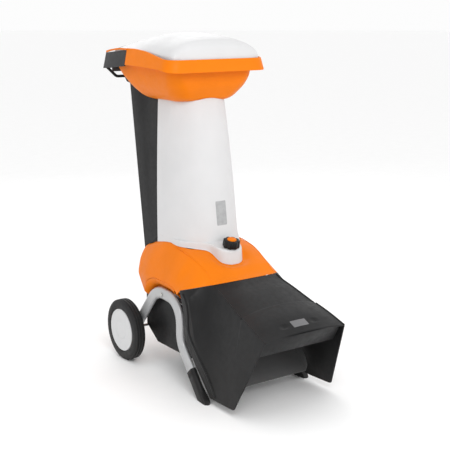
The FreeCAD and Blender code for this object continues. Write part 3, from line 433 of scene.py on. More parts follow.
# ---- materials
def material(name, colour, roughness, metallic=0.0, variation=0.06, grain=0.06, grain_scale=900.0,
             blotch=9.0, rough_spread=0.07, dust=0.0, coat=0.0, brushed=None, specular=0.5):
    """Procedural material: two close tones, uneven gloss, fine or brushed grain, dust low down."""
    mat = bpy.data.materials.new(name)
    mat.use_nodes = True
    tree = mat.node_tree
    shader = tree.nodes["Principled BSDF"]

    def fill(node, values):
        for socket, value in values.items():
            node.inputs[socket].default_value = value
        return node

    def add(kind, **values):
        return fill(tree.nodes.new("ShaderNode" + kind), {k.replace("_", " "): v for k, v in values.items()})

    fill(shader, {"Metallic": metallic, "Coat Weight": coat, "Specular IOR Level": specular,
                  "Coat Roughness": 0.2})
    coords = tree.nodes.new("ShaderNodeTexCoord").outputs["Object"]

    def noise(scale, detail=4.0, stretch=None):
        node = add("TexNoise", Scale=scale, Detail=detail)
        vector = coords
        if stretch:
            mapping = add("Mapping", Scale=stretch)
            tree.links.new(coords, mapping.inputs["Vector"])
            vector = mapping.outputs["Vector"]
        tree.links.new(vector, node.inputs["Vector"])
        return node.outputs["Fac"]

    ramp = tree.nodes.new("ShaderNodeValToRGB")
    dark = [c * (1 - variation) for c in colour]
    light = [min(1.0, c * (1 + variation) + variation * 0.01) for c in colour]
    for stop, position, tone in zip(ramp.color_ramp.elements, (0.35, 0.65), (dark, light)):
        stop.position = position
        stop.color = (*tone, 1)
    tree.links.new(noise(blotch), ramp.inputs["Fac"])
    tone = ramp.outputs["Color"]
    if dust:
        split = tree.nodes.new("ShaderNodeSeparateXYZ")
        tree.links.new(coords, split.inputs["Vector"])
        height = add("MapRange", From_Min=0.22, From_Max=0.0, To_Max=dust)
        tree.links.new(split.outputs["Z"], height.inputs["Value"])
        patch = tree.nodes.new("ShaderNodeMath")
        patch.operation = "MULTIPLY"
        tree.links.new(noise(38.0), patch.inputs[0])
        tree.links.new(height.outputs["Result"], patch.inputs[1])
        mix = tree.nodes.new("ShaderNodeMix")
        mix.data_type = "RGBA"
        mix.inputs["B"].default_value = (0.30, 0.27, 0.22, 1)
        tree.links.new(patch.outputs["Value"], mix.inputs["Factor"])
        tree.links.new(tone, mix.inputs["A"])
        tone = mix.outputs["Result"]
    tree.links.new(tone, shader.inputs["Base Color"])
    spread = add("MapRange", From_Min=0.3, From_Max=0.7, To_Min=max(0.02, roughness - rough_spread),
                 To_Max=min(1.0, roughness + rough_spread))
    tree.links.new(noise(55.0), spread.inputs["Value"])
    tree.links.new(spread.outputs["Result"], shader.inputs["Roughness"])
    bump = add("Bump", Strength=grain, Distance=0.0006)
    tree.links.new(noise(grain_scale, 3.0, brushed), bump.inputs["Height"])
    tree.links.new(bump.outputs["Normal"], shader.inputs["Normal"])
    return mat


ORANGE = material("orange_plastic", (0.78, 0.185, 0.0010), 0.45, variation=0.03, grain=0.05,
                  grain_scale=1300, specular=0.14)
GREY = material("light_grey_plastic", (0.62, 0.62, 0.625), 0.42, variation=0.015, grain=0.04,
                grain_scale=1300, specular=0.35)
BLACK = material("black_plastic", (0.0085, 0.0085, 0.009), 0.42, variation=0.15, grain=0.12,
                 grain_scale=1000, dust=0.03, specular=0.22)
DARK = material("dark_grey_plastic", (0.036, 0.036, 0.037), 0.50, variation=0.10, grain=0.14,
                grain_scale=1000, specular=0.3)
CHUTE = material("chute_plastic", (0.075, 0.076, 0.078), 0.48, variation=0.10, grain=0.12,
                 grain_scale=1000, dust=0.10)
SILVER = material("silver_powder_coat", (0.44, 0.445, 0.45), 0.36, metallic=0.35, variation=0.03, grain=0.10,
                  grain_scale=1700, dust=0.06)
STEEL = material("machined_steel", (0.42, 0.42, 0.43), 0.34, metallic=1.0, variation=0.08, grain=0.10,
                 grain_scale=300, brushed=(1, 1, 14))
BLADE = material("ground_steel", (0.58, 0.58, 0.59), 0.24, metallic=1.0, variation=0.05, grain=0.12,
                 grain_scale=420, brushed=(12, 1, 1))
ZINC = material("zinc_plated_steel", (0.55, 0.55, 0.53), 0.36, metallic=1.0, variation=0.10, grain=0.08,
                blotch=120)
CAST = material("cast_aluminium", (0.46, 0.465, 0.47), 0.48, metallic=0.9, variation=0.06, grain=0.35,
                grain_scale=700)
COPPER = material("enamelled_wire", (0.45, 0.16, 0.06), 0.35, metallic=0.7, variation=0.15, grain=0.5,
                  grain_scale=260, brushed=(1, 1, 9))
TYRE = material("tyre_rubber", (0.012, 0.012, 0.013), 0.62, variation=0.15, grain=0.22, grain_scale=700,
                dust=0.07, specular=0.3)
RUBBER = material("flap_rubber", (0.022, 0.022, 0.023), 0.66, variation=0.12, grain=0.20, grain_scale=800)
CAP = material("hub_cap_plastic", (0.60, 0.605, 0.61), 0.38, variation=0.02, grain=0.03, grain_scale=1300)
RED = material("red_button", (0.55, 0.012, 0.008), 0.30, variation=0.05, grain=0.03, coat=0.3)
GREEN = material("green_button", (0.010, 0.20, 0.035), 0.32, variation=0.05, grain=0.03, coat=0.3)
SILVER_LABEL = material("blank_plate", (0.36, 0.365, 0.37), 0.42, metallic=0.25, variation=0.08,
                        grain=0.05, blotch=60, coat=0.25)
VISOR_LABEL = material("visor_blank_plate", (0.16, 0.16, 0.165), 0.42, metallic=0.2, variation=0.08,
                       grain=0.05)

# ---- chassis
LEG_X, LEG_SPLAY = 185.0, math.radians(4.43)
LEG_FRONT_Y, LEG_REAR_Y, LEG_TOP_Z, LEG_KNEE_Z = -390.0, -194.0, 333.0, 177.0
LEG_FOOT_RUN = 176.0
LEG_RADII = [140.0, 88.0, 80.0]
LEG_START, LEG_END_Z, LEG_DEPTH, LEG_THICK = 26.0, 8.0, 45.0, 22.0
SLEEVE_Y, SLEEVE_LENGTH, SLEEVE_DEPTH, SLEEVE_THICK = -476.0, 180.0, 52.0, 26.7
GROUND_GAP = 0.3


def splay(obj):
    """From the plane X = 0 to the plane of the left leg, about the axle's line."""
    turn = Matrix.Translation((-LEG_X / 1000, AXLE_Y, 0)) @ Matrix.Rotation(-LEG_SPLAY, 4, "Z")
    obj.data.transform(turn @ Matrix.Translation((0, -AXLE_Y, 0)))
    return obj


def splayed(points):
    """Points of the plane X = 0 carried to the plane of the left leg."""
    points = np.array(points, float)
    x, y = points[..., 0].copy(), points[..., 1].copy()
    points[..., 0] = x * math.cos(LEG_SPLAY) + y * math.sin(LEG_SPLAY) - LEG_X
    points[..., 1] = -x * math.sin(LEG_SPLAY) + y * math.cos(LEG_SPLAY)
    return points


def make_legs():
    """Bent tubes from behind the axle over the arch to the feet."""
    axle_end = np.array([0, 0, AXLE_Z], float)
    rear_bend = np.array([0, LEG_REAR_Y, LEG_TOP_Z], float)
    rear_run = rear_bend - axle_end
    corners = [axle_end + rear_run / np.linalg.norm(rear_run) * LEG_START, rear_bend,
               (0, LEG_FRONT_Y, LEG_TOP_Z), (0, LEG_FRONT_Y, LEG_KNEE_Z),
               (0, LEG_FRONT_Y - LEG_FOOT_RUN, LEG_KNEE_Z - LEG_FOOT_RUN)]
    path = filleted_path(corners, LEG_RADII, steps=22)
    path = path[path[:, 2] > LEG_END_Z]
    leg = sweep("leg_left_tube", path, flat_oval(LEG_DEPTH, LEG_THICK))
    bevel(leg, 1.0, 50)
    splay(leg)
    dress_pair(leg, "leg_right_tube", ("base", "base"), SILVER, "leg")


def make_sleeves():
    """Grips over the legs' lower ends, with three grooves and a toe on the ground."""
    top = np.array([0, SLEEVE_Y, LEG_KNEE_Z + (SLEEVE_Y - LEG_FRONT_Y)], float)
    down = np.array([0, -1, -1]) / math.sqrt(2)

    def piece(name, distances, depth, thick):
        return sweep(name, [top + down * d for d in distances], flat_oval(depth, thick))

    sleeve = piece("sleeve_left_grip", (0, 2, 5, 40, 80, 120, 160, SLEEVE_LENGTH), SLEEVE_DEPTH, SLEEVE_THICK)
    below = [(-900, -60), (0, -60), (0, GROUND_GAP), (-900, GROUND_GAP)]
    combine(sleeve, side_prism("floor_cut", below, -90, 90))
    toe_corners = [(-532, 62), (-594, 14), (-600, GROUND_GAP), (-545, GROUND_GAP), (-518, 42)]
    toe = side_prism("toe", rounded_outline(toe_corners, [6, 6, 2, 3, 6]), -11.4, 11.4)
    combine(sleeve, toe, "UNION")
    for distance in (14, 19, 24):
        groove = piece("groove", (distance - 1.1, distance + 1.1), SLEEVE_DEPTH + 8, 34)
        keep = piece("keep", (distance - 3, distance + 3), SLEEVE_DEPTH - 2, SLEEVE_THICK - 2)
        combine(groove, keep)
        combine(sleeve, groove)
    bevel(sleeve, 1.3, 42, 3)
    splay(sleeve)
    dress_pair(sleeve, "sleeve_right_grip", ("base", "base"), BLACK, "foot_sleeve")


make_legs()
make_sleeves()

# ---- wheels
WHEELS = ("left_wheel", "right_wheel")
TREAD_GROOVE, TREAD_CROWN = 4.2, 0.9
CAP_BULGE = 3600.0


def make_tyres():
    """Tyres with rounded walls and three grooves round the tread."""
    outer = -WHEEL_OUTER_X
    wall = [(4.0, 87.5), (0.8, 90), (0, 95), (0, 104), (0.9, 112), (2.4, 117), (3.2, 117.6), (4.4, 121),
            (7.2, 123.9)]
    near_wall = [(outer + x, r) for x, r in wall]
    far_wall = [(outer + TYRE_WIDTH - x, r) for x, r in reversed(wall)]
    tread = []
    for share in (0.25, 0.5, 0.75):
        centre = outer + TYRE_WIDTH * share
        crown = WHEEL_R - TREAD_CROWN * (2 * share - 1) ** 2
        tread += [(centre - 2.6, crown), (centre - 1.9, crown - TREAD_GROOVE),
                  (centre + 1.9, crown - TREAD_GROOVE), (centre + 2.6, crown)]
    tyre = lathe_axle("tyre_left_tread", near_wall + tread + far_wall)
    bevel(tyre, 0.7, 40)
    dress_pair(tyre, "tyre_right_tread", WHEELS, TYRE, "tyre")


def make_hub_caps():
    """Slightly domed caps with a rolled edge and a ring line."""
    profile = [(9.0, 84.0), (4.2, 86.6), (1.6, 86.2), (0.6, 84.4), (0.9, 82.6)]
    profile += [(0.4 + radius * radius / CAP_BULGE, radius) for radius in (80, 70, 60, 50, 40.6)]
    profile += [(1.2, 39.4), (1.2, 38.2), (0.6, 37.0)]
    profile += [(0.2 + radius * radius / CAP_BULGE, radius) for radius in (28, 16, 6, 0.01)]
    profile += [(3.6, 0.01), (4.2, 40), (5.2, 80), (9.0, 82.0)]
    cap = lathe_axle("hub_cap_left_disc", [(x - WHEEL_OUTER_X, r) for x, r in profile])
    dress_pair(cap, "hub_cap_right_disc", WHEELS, CAP, "hub_cap", 30)


make_tyres()
make_hub_caps()

# ---- bonnet: orange cover and black hood
# Stations of the bonnet's half section: Y, ridge, shoulder, flank, foot as (x, z), crown, ridge rounding.
COVER = [
    (-54, (146, 484), (178, 436), (195, 372), (194, 280), 4, 46),
    (-127, (149, 509), (188, 443), (208, 374), (205, 280), 6, 44),
    (-200, (150, 519), (190, 447), (212, 376), (208, 280), 9, 38),
    (-260, (150, 512), (192, 445), (215, 378), (212, 280), 12, 26),
    (-343, (150, 497), (194, 438), (219, 382), (217, 280), 14, 12),
    (-396, (146, 481), (184, 431), (222, 382), (222, 20), 14, 7),
    (-462, (140, 449), (183, 406), (224, 364), (224, 20), 14, 5),
    (-507, (143, 417), (184, 320), (224, 207), (224, 20), 14, 4),
    (-617, (156, 379), (190, 222), (224, 62), (225, 20), 15, 4),
]
HOOD = [
    COVER[5], COVER[6],
    (-480, (141, 436), (184, 375), (224, 300), (224, 20), 14, 4),
    COVER[7],
    (-617, (156, 379), (190, 222), (224, 62), (225, 20), 17, 4),
    (-714, (167.5, 346), (197, 190), (225, 35), (226, 20), 19, 4),
]
VISOR = [
    (-717, (168, 349), (197, 190), (225, 35), (226, 20), 24, 3),
    (-790, (174, 328), (200, 179), (226, 34), (227, 20), 22, 3),
    (-869, (179, 301), (203, 168), (227, 33), (228, 20), 14, 3),
]
CROWN_SHAPE = [(0, 1), (0.36, 0.93), (0.72, 0.55)]
SEAM_Y, SEAM_Z, SEAM_SLOPE, SEAM_GAP = -396.0, 382.0, 35.0 / 111.0, 0.6
COVER_WALL, HOOD_WALL, BONNET_HALF = 3.5, 4.0, 260.0
COVE_IN, COVE_OUT, COVE_WALL = 23, 51, 2.2
COVE_DEPTH, SKIRT_DEPTH, SKIRT_OFFSET = 30, 31, 4
ARCH_WIDEN, ARCH_OUT, ARCH_NARROW, ARCH_DEPTH = 39, 70, 4, 44
DISH_DEPTH, DISH_SPREAD = 15.0, 24.0
REAR_R = 82.0
REAR_LINE = [(200, -55), (300, -55), (371, 5), (405, 14), (432, 21), (458, 26), (700, 26)]


def half_section(station, inset):
    """Half of the bonnet's section at a station, or of its inner face."""
    y, ridge, shoulder, flank, foot, crown, rounding = station
    points = [(ridge[0] * out, ridge[1] + crown * up - inset) for out, up in CROWN_SHAPE]
    points += [(ridge[0] - inset * 0.6, ridge[1] - inset),
               (shoulder[0] - inset, shoulder[1] - inset * 0.4),
               (flank[0] - inset, flank[1] - inset * 0.2), (foot[0] - inset, foot[1])]
    line = rounded_line(points, [30, 30, rounding, 26, 16])
    return np.column_stack([line[:, 0], np.full(len(line), float(y)), line[:, 1]])


def bonnet_rows(stations, ys, inset):
    """Half sections at each Y, interpolated between the stations."""
    sections = np.array([half_section(s, inset) for s in stations])
    order = np.argsort([s[0] for s in stations])
    rows = pchip(np.array([s[0] for s in stations])[order], sections[order], ys)
    rows[:, :, 1] = np.asarray(ys)[:, None]
    return rows


def whole(rows):
    """Half sections and their mirror image as one grid from the right foot to the left foot."""
    left = rows[:, 1:] * [-1, 1, 1]
    return np.concatenate([rows[:, ::-1], left], 1)


TONGUE = [(0, -442), (20, -441), (36, -434), (49, -422), (56, -404), (59, -383), (63, -360), (71, -337),
          (84, -317), (104, -299), (124, -281), (134, -262), (134, -240), (128, -215)]


def tongue_distance(x, y):
    """Rough distance outside the tower's foot tongue."""
    line = np.array(TONGUE, float)
    point = np.stack([np.abs(x), y], -1)[..., None, :]
    start, end = line[:-1], line[1:]
    run = end - start
    t = np.clip(((point - start) * run).sum(-1) / (run * run).sum(-1), 0, 1)
    return np.linalg.norm(point - (start + run * t[..., None]), axis=-1).min(-1)


def dish(rows):
    """Shallow trough in the cover around the foot tongue."""
    x, y = rows[..., 0], rows[..., 1]
    depth = DISH_DEPTH * smoothstep(-345, -425, y)
    inside = (np.abs(x) < np.interp(y, [-444, -424, -383, -338], [0, 49, 59, 71])) & (y > -444)
    around = np.exp(-(tongue_distance(x, y) / DISH_SPREAD) ** 2)
    rows[..., 2] -= depth * np.where(inside, 1, around) * smoothstep(170, 120, np.abs(x))
    return rows


def tuck(rows):
    """Draw the lower part of the flank forward, where it turns into the back."""
    shift = np.interp(rows[..., 2], [286, 309, 338, 368], [50, 34, 16, 0])
    rows[..., 1] -= shift * smoothstep(-200, -54, rows[..., 1])
    return rows


def cover_surface(inset):
    """Grid of the cover's outer face, or of its inner one, with its rounded back."""
    ys = np.concatenate([np.linspace(-617, -345, 69), np.linspace(-338, -54, 42)])
    rows = tuck(dish(bonnet_rows(COVER, ys, inset)))
    first = rows[-1].copy()
    y_end = np.interp(first[:, 2], [z for z, y in REAR_LINE], [y for z, y in REAR_LINE]) - inset
    top_part = smoothstep(380, 480, first[:, 2])
    back = []
    for share in (0.15, 0.3, 0.44, 0.57, 0.69, 0.79, 0.87, 0.93, 0.97, 0.99, 0.9995):
        row = first.copy()
        row[:, 2] -= 30 * share ** 1.3 * (0.25 + 0.75 * top_part) * smoothstep(300, 372, first[:, 2])
        row[:, 1] += (y_end - first[:, 1]) * share
        narrowing = (REAR_R - inset) * (1 - math.sqrt(1 - share * share))
        row[:, 0] *= 1 - narrowing / first[:, 0].max()
        back.append(row)
    for squeeze in (0.8, 0.6, 0.4, 0.2, 0.0):
        back.append(back[10] * [squeeze, 1, 1])
    return whole(np.concatenate([rows, np.array(back)]))


cover_tree = surface_tree(cover_surface(0))


def seam(y, gap=0.0):
    """Height of the seam between the cover and the hood."""
    return SEAM_Z - (y - SEAM_Y) * SEAM_SLOPE + gap


def arch_line(offset):
    """Outline of the leg's arch, offset outwards, from behind the leg round to its front."""
    top, front = LEG_TOP_Z + offset, LEG_FRONT_Y - offset
    corners = [(0, 120, 40), (0, -178 + offset * 0.5, top), (0, front, top), (0, front, 40)]
    return filleted_path(corners, [LEG_RADII[0], LEG_RADII[1] + offset], 16, 12)


def make_cove():
    """Concave band from the cover's flank to the leg, with a skirt behind the leg."""
    mouth = splayed(arch_line(COVE_OUT))
    keep = (mouth[:, 2] > 302) & (mouth[:, 2] > seam(mouth[:, 1]) - 2)
    mouth = mouth[keep]
    throat = splayed(arch_line(COVE_IN) + [[COVE_DEPTH, 0, 0]])[keep]
    skirt = splayed(arch_line(SKIRT_OFFSET) + [[SKIRT_DEPTH, 0, 0]])[keep]
    edge = np.array([[left_x(cover_tree, y, z) + 0.4, y, z] for x, y, z in mouth])
    steps = []
    for t in (0, 0.06, 0.2, 0.4, 0.62, 0.82, 0.95, 1.0):
        inward, down = 1 - math.cos(t * math.pi / 2), math.sin(t * math.pi / 2)
        steps.append(edge + (throat - edge) * [inward, down, down])
    return shell("cove", np.array(steps + [skirt]).transpose(1, 0, 2), COVE_WALL, flip=True)


def ridge_line(stations, inward, lift, first, last, count):
    """Line along the left ridge of the bonnet, a little inside and above or below it."""
    ridge = np.array([(inward - s[1][0], s[0], s[1][1] + lift) for s in sorted(stations)])
    return pchip(ridge[:, 1], ridge, np.linspace(first, last, count))


def make_cover():
    """Orange cover above the seam, with the arches, the coves and its front creases."""
    cover = shell("base_cover_shell", cover_surface(0), COVER_WALL, inner=cover_surface(COVER_WALL))
    corners = [(60, 300), (60, 760), (-760, 760), (-760, seam(-760, SEAM_GAP)),
               (SEAM_Y, SEAM_Z + SEAM_GAP), (-372, 358), (-350, 300)]
    combine(cover, side_prism("above_seam", corners, -BONNET_HALF, BONNET_HALF), "INTERSECT")
    for sign in (1, -1):
        wide_ring = splayed(arch_line(COVE_OUT + ARCH_WIDEN) + [[-ARCH_OUT, 0, 0]])
        narrow_ring = splayed(arch_line(COVE_IN - ARCH_NARROW) + [[ARCH_DEPTH, 0, 0]])
        grid = np.array([wide_ring, narrow_ring])
        grid[..., 0] *= sign
        combine(cover, solid("arch_cut", grid))
    combine(cover, plan_prism("tower_hole", rounded_plan(128, -330, 4, 50, 50), 380, 640))
    combine(cover, plan_prism("hinge_notch", [(-95, -4), (95, -4), (95, 60), (-95, 60)], 452, 600))
    bevel(cover, 0.9, 50)
    cove = make_cove()
    cove_twin = mirrored(cove, "cove_twin")
    crease = sweep("crease", ridge_line(COVER[2:], 1.6, -0.4, -500, -246, 50), circle(1.5, 10))
    for vertex in crease.data.vertices:
        vertex.co.z -= 0.003 * float(smoothstep(-290, -246, (vertex.co.y - AXLE_Y) * 1000))
    join(cover, cove, cove_twin, crease, mirrored(crease, "crease_twin"))
    dress(cover, "base", ORANGE, ("base_cover",), 30)


make_cover()

VISOR_REAR_Y, VISOR_FRONT_Y = -717.0, -869.0
DIMPLE_X, DIMPLE_Y, DIMPLE_DEPTH = 66.0, -829.0, 3.4
RIB = [(-417, 372), (-437, 356), (-449, 334), (-455, 301), (-455, 243), (-474, 212), (-516, 168),
       (-566, 116), (-612, 66), (-634, 38)]


def hood_surface(inset):
    """Grid of the hood's outer or inner face: the visor stands a step above the rest."""
    visor = bonnet_rows(VISOR, np.linspace(VISOR_FRONT_Y, VISOR_REAR_Y, 62), inset)
    spread = np.hypot((np.abs(visor[..., 0]) - DIMPLE_X) * 0.8, visor[..., 1] - DIMPLE_Y)
    visor[..., 2] -= DIMPLE_DEPTH * smoothstep(13, 6, spread)
    ys = np.concatenate([np.linspace(-714, -480, 60), np.linspace(-474, -384, 16)])
    stations = [(-380,) + HOOD[0][1:]] + HOOD
    return whole(np.concatenate([visor, bonnet_rows(stations, ys, inset)]))


hood_tree = surface_tree(hood_surface(0))


def make_hood():
    """Black ejection hood below the seam, with its side ribs and ridge beads."""
    hood = shell("ejection_hood_shell", hood_surface(0), HOOD_WALL, inner=hood_surface(HOOD_WALL))
    corners = [(SEAM_Y - SEAM_GAP, SEAM_Z - SEAM_GAP), (-900, seam(-900) - SEAM_GAP + 400), (-900, 340),
               (-868, 318), (-868, 301), (-752, 33), (-742, 30), (-631, 26), (-600, 26), (-455, 172),
               (-426, 215), (-424, 310)]
    trim = rounded_outline(corners, [0.5, 1, 1, 1, 1, 16, 4, 12, 4, 30, 30, 20])
    combine(hood, side_prism("trim", trim, -BONNET_HALF, BONNET_HALF), "INTERSECT")
    above = [(-300, seam(-300, -SEAM_GAP)), (-300, 900), (-700, 900), (-700, seam(-700, -SEAM_GAP))]
    combine(hood, side_prism("seam_cut", above, -300, 300))
    bevel(hood, 1.0, 52)
    rib_line = rounded_line([(0, y, z) for y, z in RIB], [14] * (len(RIB) - 2), 4, 3)
    rib_path = [(left_x(hood_tree, y, z) - 0.6, y, z) for x, y, z in rib_line]
    rib = sweep("rib", rib_path, circle(1.0, 16) * [5.5, 3.4])
    pieces = [rib, mirrored(rib, "rib_twin")]
    for stations, last in ((HOOD, -513), (VISOR, -722)):
        line = ridge_line(stations, 1.0, 0.8, stations[-1][0] + 2, last, 30)
        bead = sweep("ridge_bead", line, circle(2.2, 12))
        pieces += [bead, mirrored(bead, "ridge_bead_twin")]
    join(hood, *pieces)
    dress(hood, "base", BLACK, ("ejection_hood",), 28)


make_hood()

# ---- tower
OVAL_Y, OVAL_N = -150.0, 2.3
TOWER_TOP_Z, TOWER_WALL, NO_TONGUE = 1060.0, 3.5, 999
TOWER_FOOT_Z, SIDE_FOOT_Z, TONGUE_BLEND = 470, 500, 34
SKIN_GAP, ROW_STEP, SCREW_HOLE_R = 1.2, 0.7, 4.5
KNOB_Y, KNOB_Z, KNOB_TILT = -413.0, 521.0, math.radians(12.0)


def tower_half(z):
    """Half width of the tower at a height."""
    drop = TOWER_TOP_Z - z
    return 116.0 + drop * 0.0778 - drop * drop * 0.0000444


def tower_front(z):
    """Y of the tower's front line at a height."""
    drop = TOWER_TOP_Z - z
    return -278.0 - drop * 0.2085 + drop * drop * 0.0000844


def tower_seam(z):
    """Y of the seam between the front and the back shell at a height."""
    return -85.0 - 0.055 * (TOWER_TOP_Z - z)


BOWL = [
    (1062, 108, -246, 6, 60), (1070, 128, -266, 30, 64), (1092, 153, -282, 54, 66),
    (1127, 175, -301, 84, 62), (1160, 186, -308, 112, 54), (1206, 192, -310, 150, 50),
]


def bowl_level(z):
    """Half width, front, rear and corner radius of the bowl at a height."""
    levels = np.array(BOWL, float)
    return pchip(levels[:, 0], levels[:, 1:], [z])[0]


def bowl_under(x, y):
    """Height of the underside of the bowl over a point of the plan."""
    low, high = 1062.0, 1200.0
    for _ in range(24):
        z = (low + high) / 2
        half, front, rear, radius = bowl_level(z)
        dx = abs(x) - (half - radius)
        dy = abs(y - (front + rear) / 2) - ((rear - front) / 2 - radius)
        outside = math.hypot(max(dx, 0), max(dy, 0)) + min(max(dx, dy), 0) - radius
        if outside > 0:
            low = z
        else:
            high = z
    return (low + high) / 2


tongue_line = rounded_line([(x, y) for x, y in TONGUE], [9] * 12, 4, 2)
tongue_angle = np.arctan2(tongue_line[:, 0], -(tongue_line[:, 1] - OVAL_Y))
tongue_radius = np.hypot(tongue_line[:, 0], tongue_line[:, 1] - OVAL_Y)
# Rows of the front shell: height, and how far the foot tongue has drawn in by then.
TOWER_ROWS = [(0, 0), (461, 0), (468, 0.4), (476, 1), (484, 1.5), (492, 2), (500, 2.6), (507, 3), (512, 3.4),
              (515.5, 4), (518, 5), (519.8, 6.6), (520.8, 9), (521, 13), (521, 20), (521, 30), (521, 42),
              (521, 56), (521.5, 72), (523, 90), (526, 108), (530, 124), (535, 140), (541, 156), (549, 172),
              (558, 190), (570, 210)]
TOWER_ROWS += [(z, NO_TONGUE) for z in np.linspace(584, 1096, 43)]
side_fan = np.linspace(30, 90, 18)
fan = np.radians(np.concatenate([-side_fan[::-1], np.linspace(-28, 28, 57), side_fan]))


def oval_radius(theta, z):
    """Distance of the tower's oval front from its centre, by angle and height."""
    a = tower_half(z)
    b = OVAL_Y - tower_front(z)
    return ((np.abs(np.sin(theta)) / a) ** OVAL_N + (np.abs(np.cos(theta)) / b) ** OVAL_N) ** (-1 / OVAL_N)


def tower_grid():
    """Rows of the front shell, from the cover up to the bowl."""
    rows = []
    reach = np.interp(np.abs(fan), tongue_angle, tongue_radius, right=0)
    sides = np.linspace(0, 1, 10)[:-1]
    bottom = None
    for number, (level, inset) in enumerate(TOWER_ROWS):
        z = np.full(len(fan), float(level))
        plain = oval_radius(fan, np.maximum(z, TOWER_FOOT_Z))
        radius = smooth_max(plain, reach - inset, TONGUE_BLEND) if inset < NO_TONGUE else plain
        y = OVAL_Y - radius * np.cos(fan)
        x = radius * np.sin(fan)
        weight = float(smoothstep(462, 512, level) * smoothstep(590, 521, level))
        z = z + weight * (np.minimum(y, -345) - KNOB_Y) * math.tan(KNOB_TILT)
        seam_y = tower_seam(max(level, SIDE_FOOT_Z))
        side_y = [seam_y + (OVAL_Y - seam_y) * s for s in sides]
        side_x = np.full(len(side_y), -tower_half(max(level, TOWER_FOOT_Z)))
        xs = np.concatenate([side_x, x, -side_x[::-1]])
        ys = np.concatenate([side_y, y, side_y[::-1]])
        zs = np.concatenate([np.full(len(side_y), z[0]), z, np.full(len(side_y), z[-1])])
        if bottom is None:
            bottom = np.array([top_z(cover_tree, a, b) for a, b in zip(xs, ys)]) + SKIN_GAP
            zs = bottom
        else:
            zs = np.maximum(zs, bottom + ROW_STEP * number)
        rows.append(np.stack([xs, ys, zs], 1))
    grid = np.array(rows)
    top = np.array([bowl_under(a, b) for a, b in grid[-1, :, :2]]) + SKIN_GAP
    grid[..., 2] = np.minimum(grid[..., 2], top[None, :])
    return grid


tower = shell("tower_front_skin", tower_grid(), TOWER_WALL)
lock_axis = np.array([0, -math.sin(KNOB_TILT), math.cos(KNOB_TILT)])
seat = np.array([0, KNOB_Y, KNOB_Z])
hole = sweep("screw_hole", [seat - lock_axis * 30, seat, seat + lock_axis * 30], circle(SCREW_HOLE_R))
combine(tower, hole)
bevel(tower, 1.0, 50)
dress(tower, "tower", GREY, ("tower_front_shell",), 30)

# ---- hopper
RIM_HALF, RIM_FRONT, RIM_REAR, RIM_FRONT_R, RIM_REAR_R, RIM_FLARE = 229.0, -352.0, 160.0, 58.0, 14.0, 20.0
RIM_TOP = [(-400, 1223), (-310, 1226), (-247, 1236), (-150, 1252), (-59, 1258), (23, 1258), (96, 1252),
           (172, 1238)]
RIM_BOTTOM = [(-400, 1176), (-338, 1178), (-262, 1188), (-122, 1193), (-16, 1195), (200, 1195)]
RIM_WALL, BAND_END_Y, LEDGE_Z = 3.5, -16.0, 1200.0
# Stations of the dome: Y, half width, edge height, top height, how fast the crown falls to its edge.
DOME = [
    (-331, 160, 1225, 1237, 0.5), (-323, 190, 1229, 1274, 0.52), (-300, 198, 1233, 1296, 0.58),
    (-240, 202, 1241, 1308, 0.74), (-150, 204, 1252, 1318, 0.97), (-40, 204, 1257, 1307, 1.27),
    (92, 202, 1252, 1284, 1.6),
]
DOME_EXPONENT, DOME_WALL, DOME_SKIRT = 2.9, 3.0, 16.0
BOWL_WALL, BAR_R = 3.5, 5.9


def make_bowl():
    """Orange bowl from the tower's top to the rim, open above and at the sill."""
    rows = []
    for z in np.concatenate([np.linspace(1062, 1092, 13), np.linspace(1096, 1206, 24)]):
        half, front, rear, radius = bowl_level(z)
        plan = rounded_plan(half, front, rear, radius, radius, 12, 10, 8)
        rows.append(np.column_stack([plan, np.full(len(plan), z)]))
    for scale in (0.92, 0.84):
        row = rows[0].copy()
        centre = row.mean(0)
        row[:, :2] = centre[:2] + (row[:, :2] - centre[:2]) * scale
        row[:, 2] -= (1 - scale) * 12
        rows.insert(0, row)
    bowl = shell("hopper_bowl_skin", np.array(rows), BOWL_WALL, closed=True, flip=True)
    combine(bowl, side_prism("sill_cut", [(60, 1178), (210, 1178), (210, 1300), (60, 1300)], -176, 176))
    bevel(bowl, 0.8, 50)
    dress(bowl, "tower", ORANGE, ("hopper_bowl",), 30)


def rim_plan(z, out):
    """Plan of the flared band at a height, from the middle of its back."""
    share = (z - 1170) / 95
    return rounded_plan(RIM_HALF - RIM_FLARE * share + out, RIM_FRONT + RIM_FLARE * share - out,
                        RIM_REAR - 7 * share + out, RIM_FRONT_R - 4 * share + out,
                        RIM_REAR_R - 2 * share + out, 12, 24, 12)


def rim_band():
    """Flared band round the front and sides, with a rolled upper and lower edge."""
    base = rim_plan(LEDGE_Z, 0)
    half = len(base) // 2
    right = [i for i in range(1, half + 1) if base[i][1] <= BAND_END_Y]
    rings = []
    for i in right + [len(base) - j for j in reversed(right) if j != half]:
        high = line_value(RIM_TOP, base[i][1])
        low = line_value(RIM_BOTTOM, base[i][1])
        profile = [(low, -RIM_WALL), (low, -0.9), (low + 0.8, 0), (high - 2.4, 0), (high - 0.8, -0.7),
                   (high, -2.4), (high, -5.5), (high - 2.5, -6.0), (high - 3.2, -RIM_WALL),
                   (low + 1, -RIM_WALL)]
        rings.append([(*rim_plan(z, out)[i], z) for z, out in profile])
    return solid("hopper_rim_band", np.array(rings))


def rim_strip(sign):
    """Thin lip on one side, from the band's end back to the mouth frame."""
    plan = rim_plan(1240, -1.2)
    side = [(x, y) for x, y in plan[:len(plan) // 2 + 1] if -17 <= y <= 152 and x > 100]
    path = [(sign * x, y, line_value(RIM_TOP, y) - 3.6) for x, y in sorted(side, key=lambda p: p[1])]
    return sweep("strip", path, [(3.4, -1.6), (3.4, 1.6), (2.4, 2.4), (-2.4, 2.4), (-3.4, 1.6), (-3.4, -1.6)])


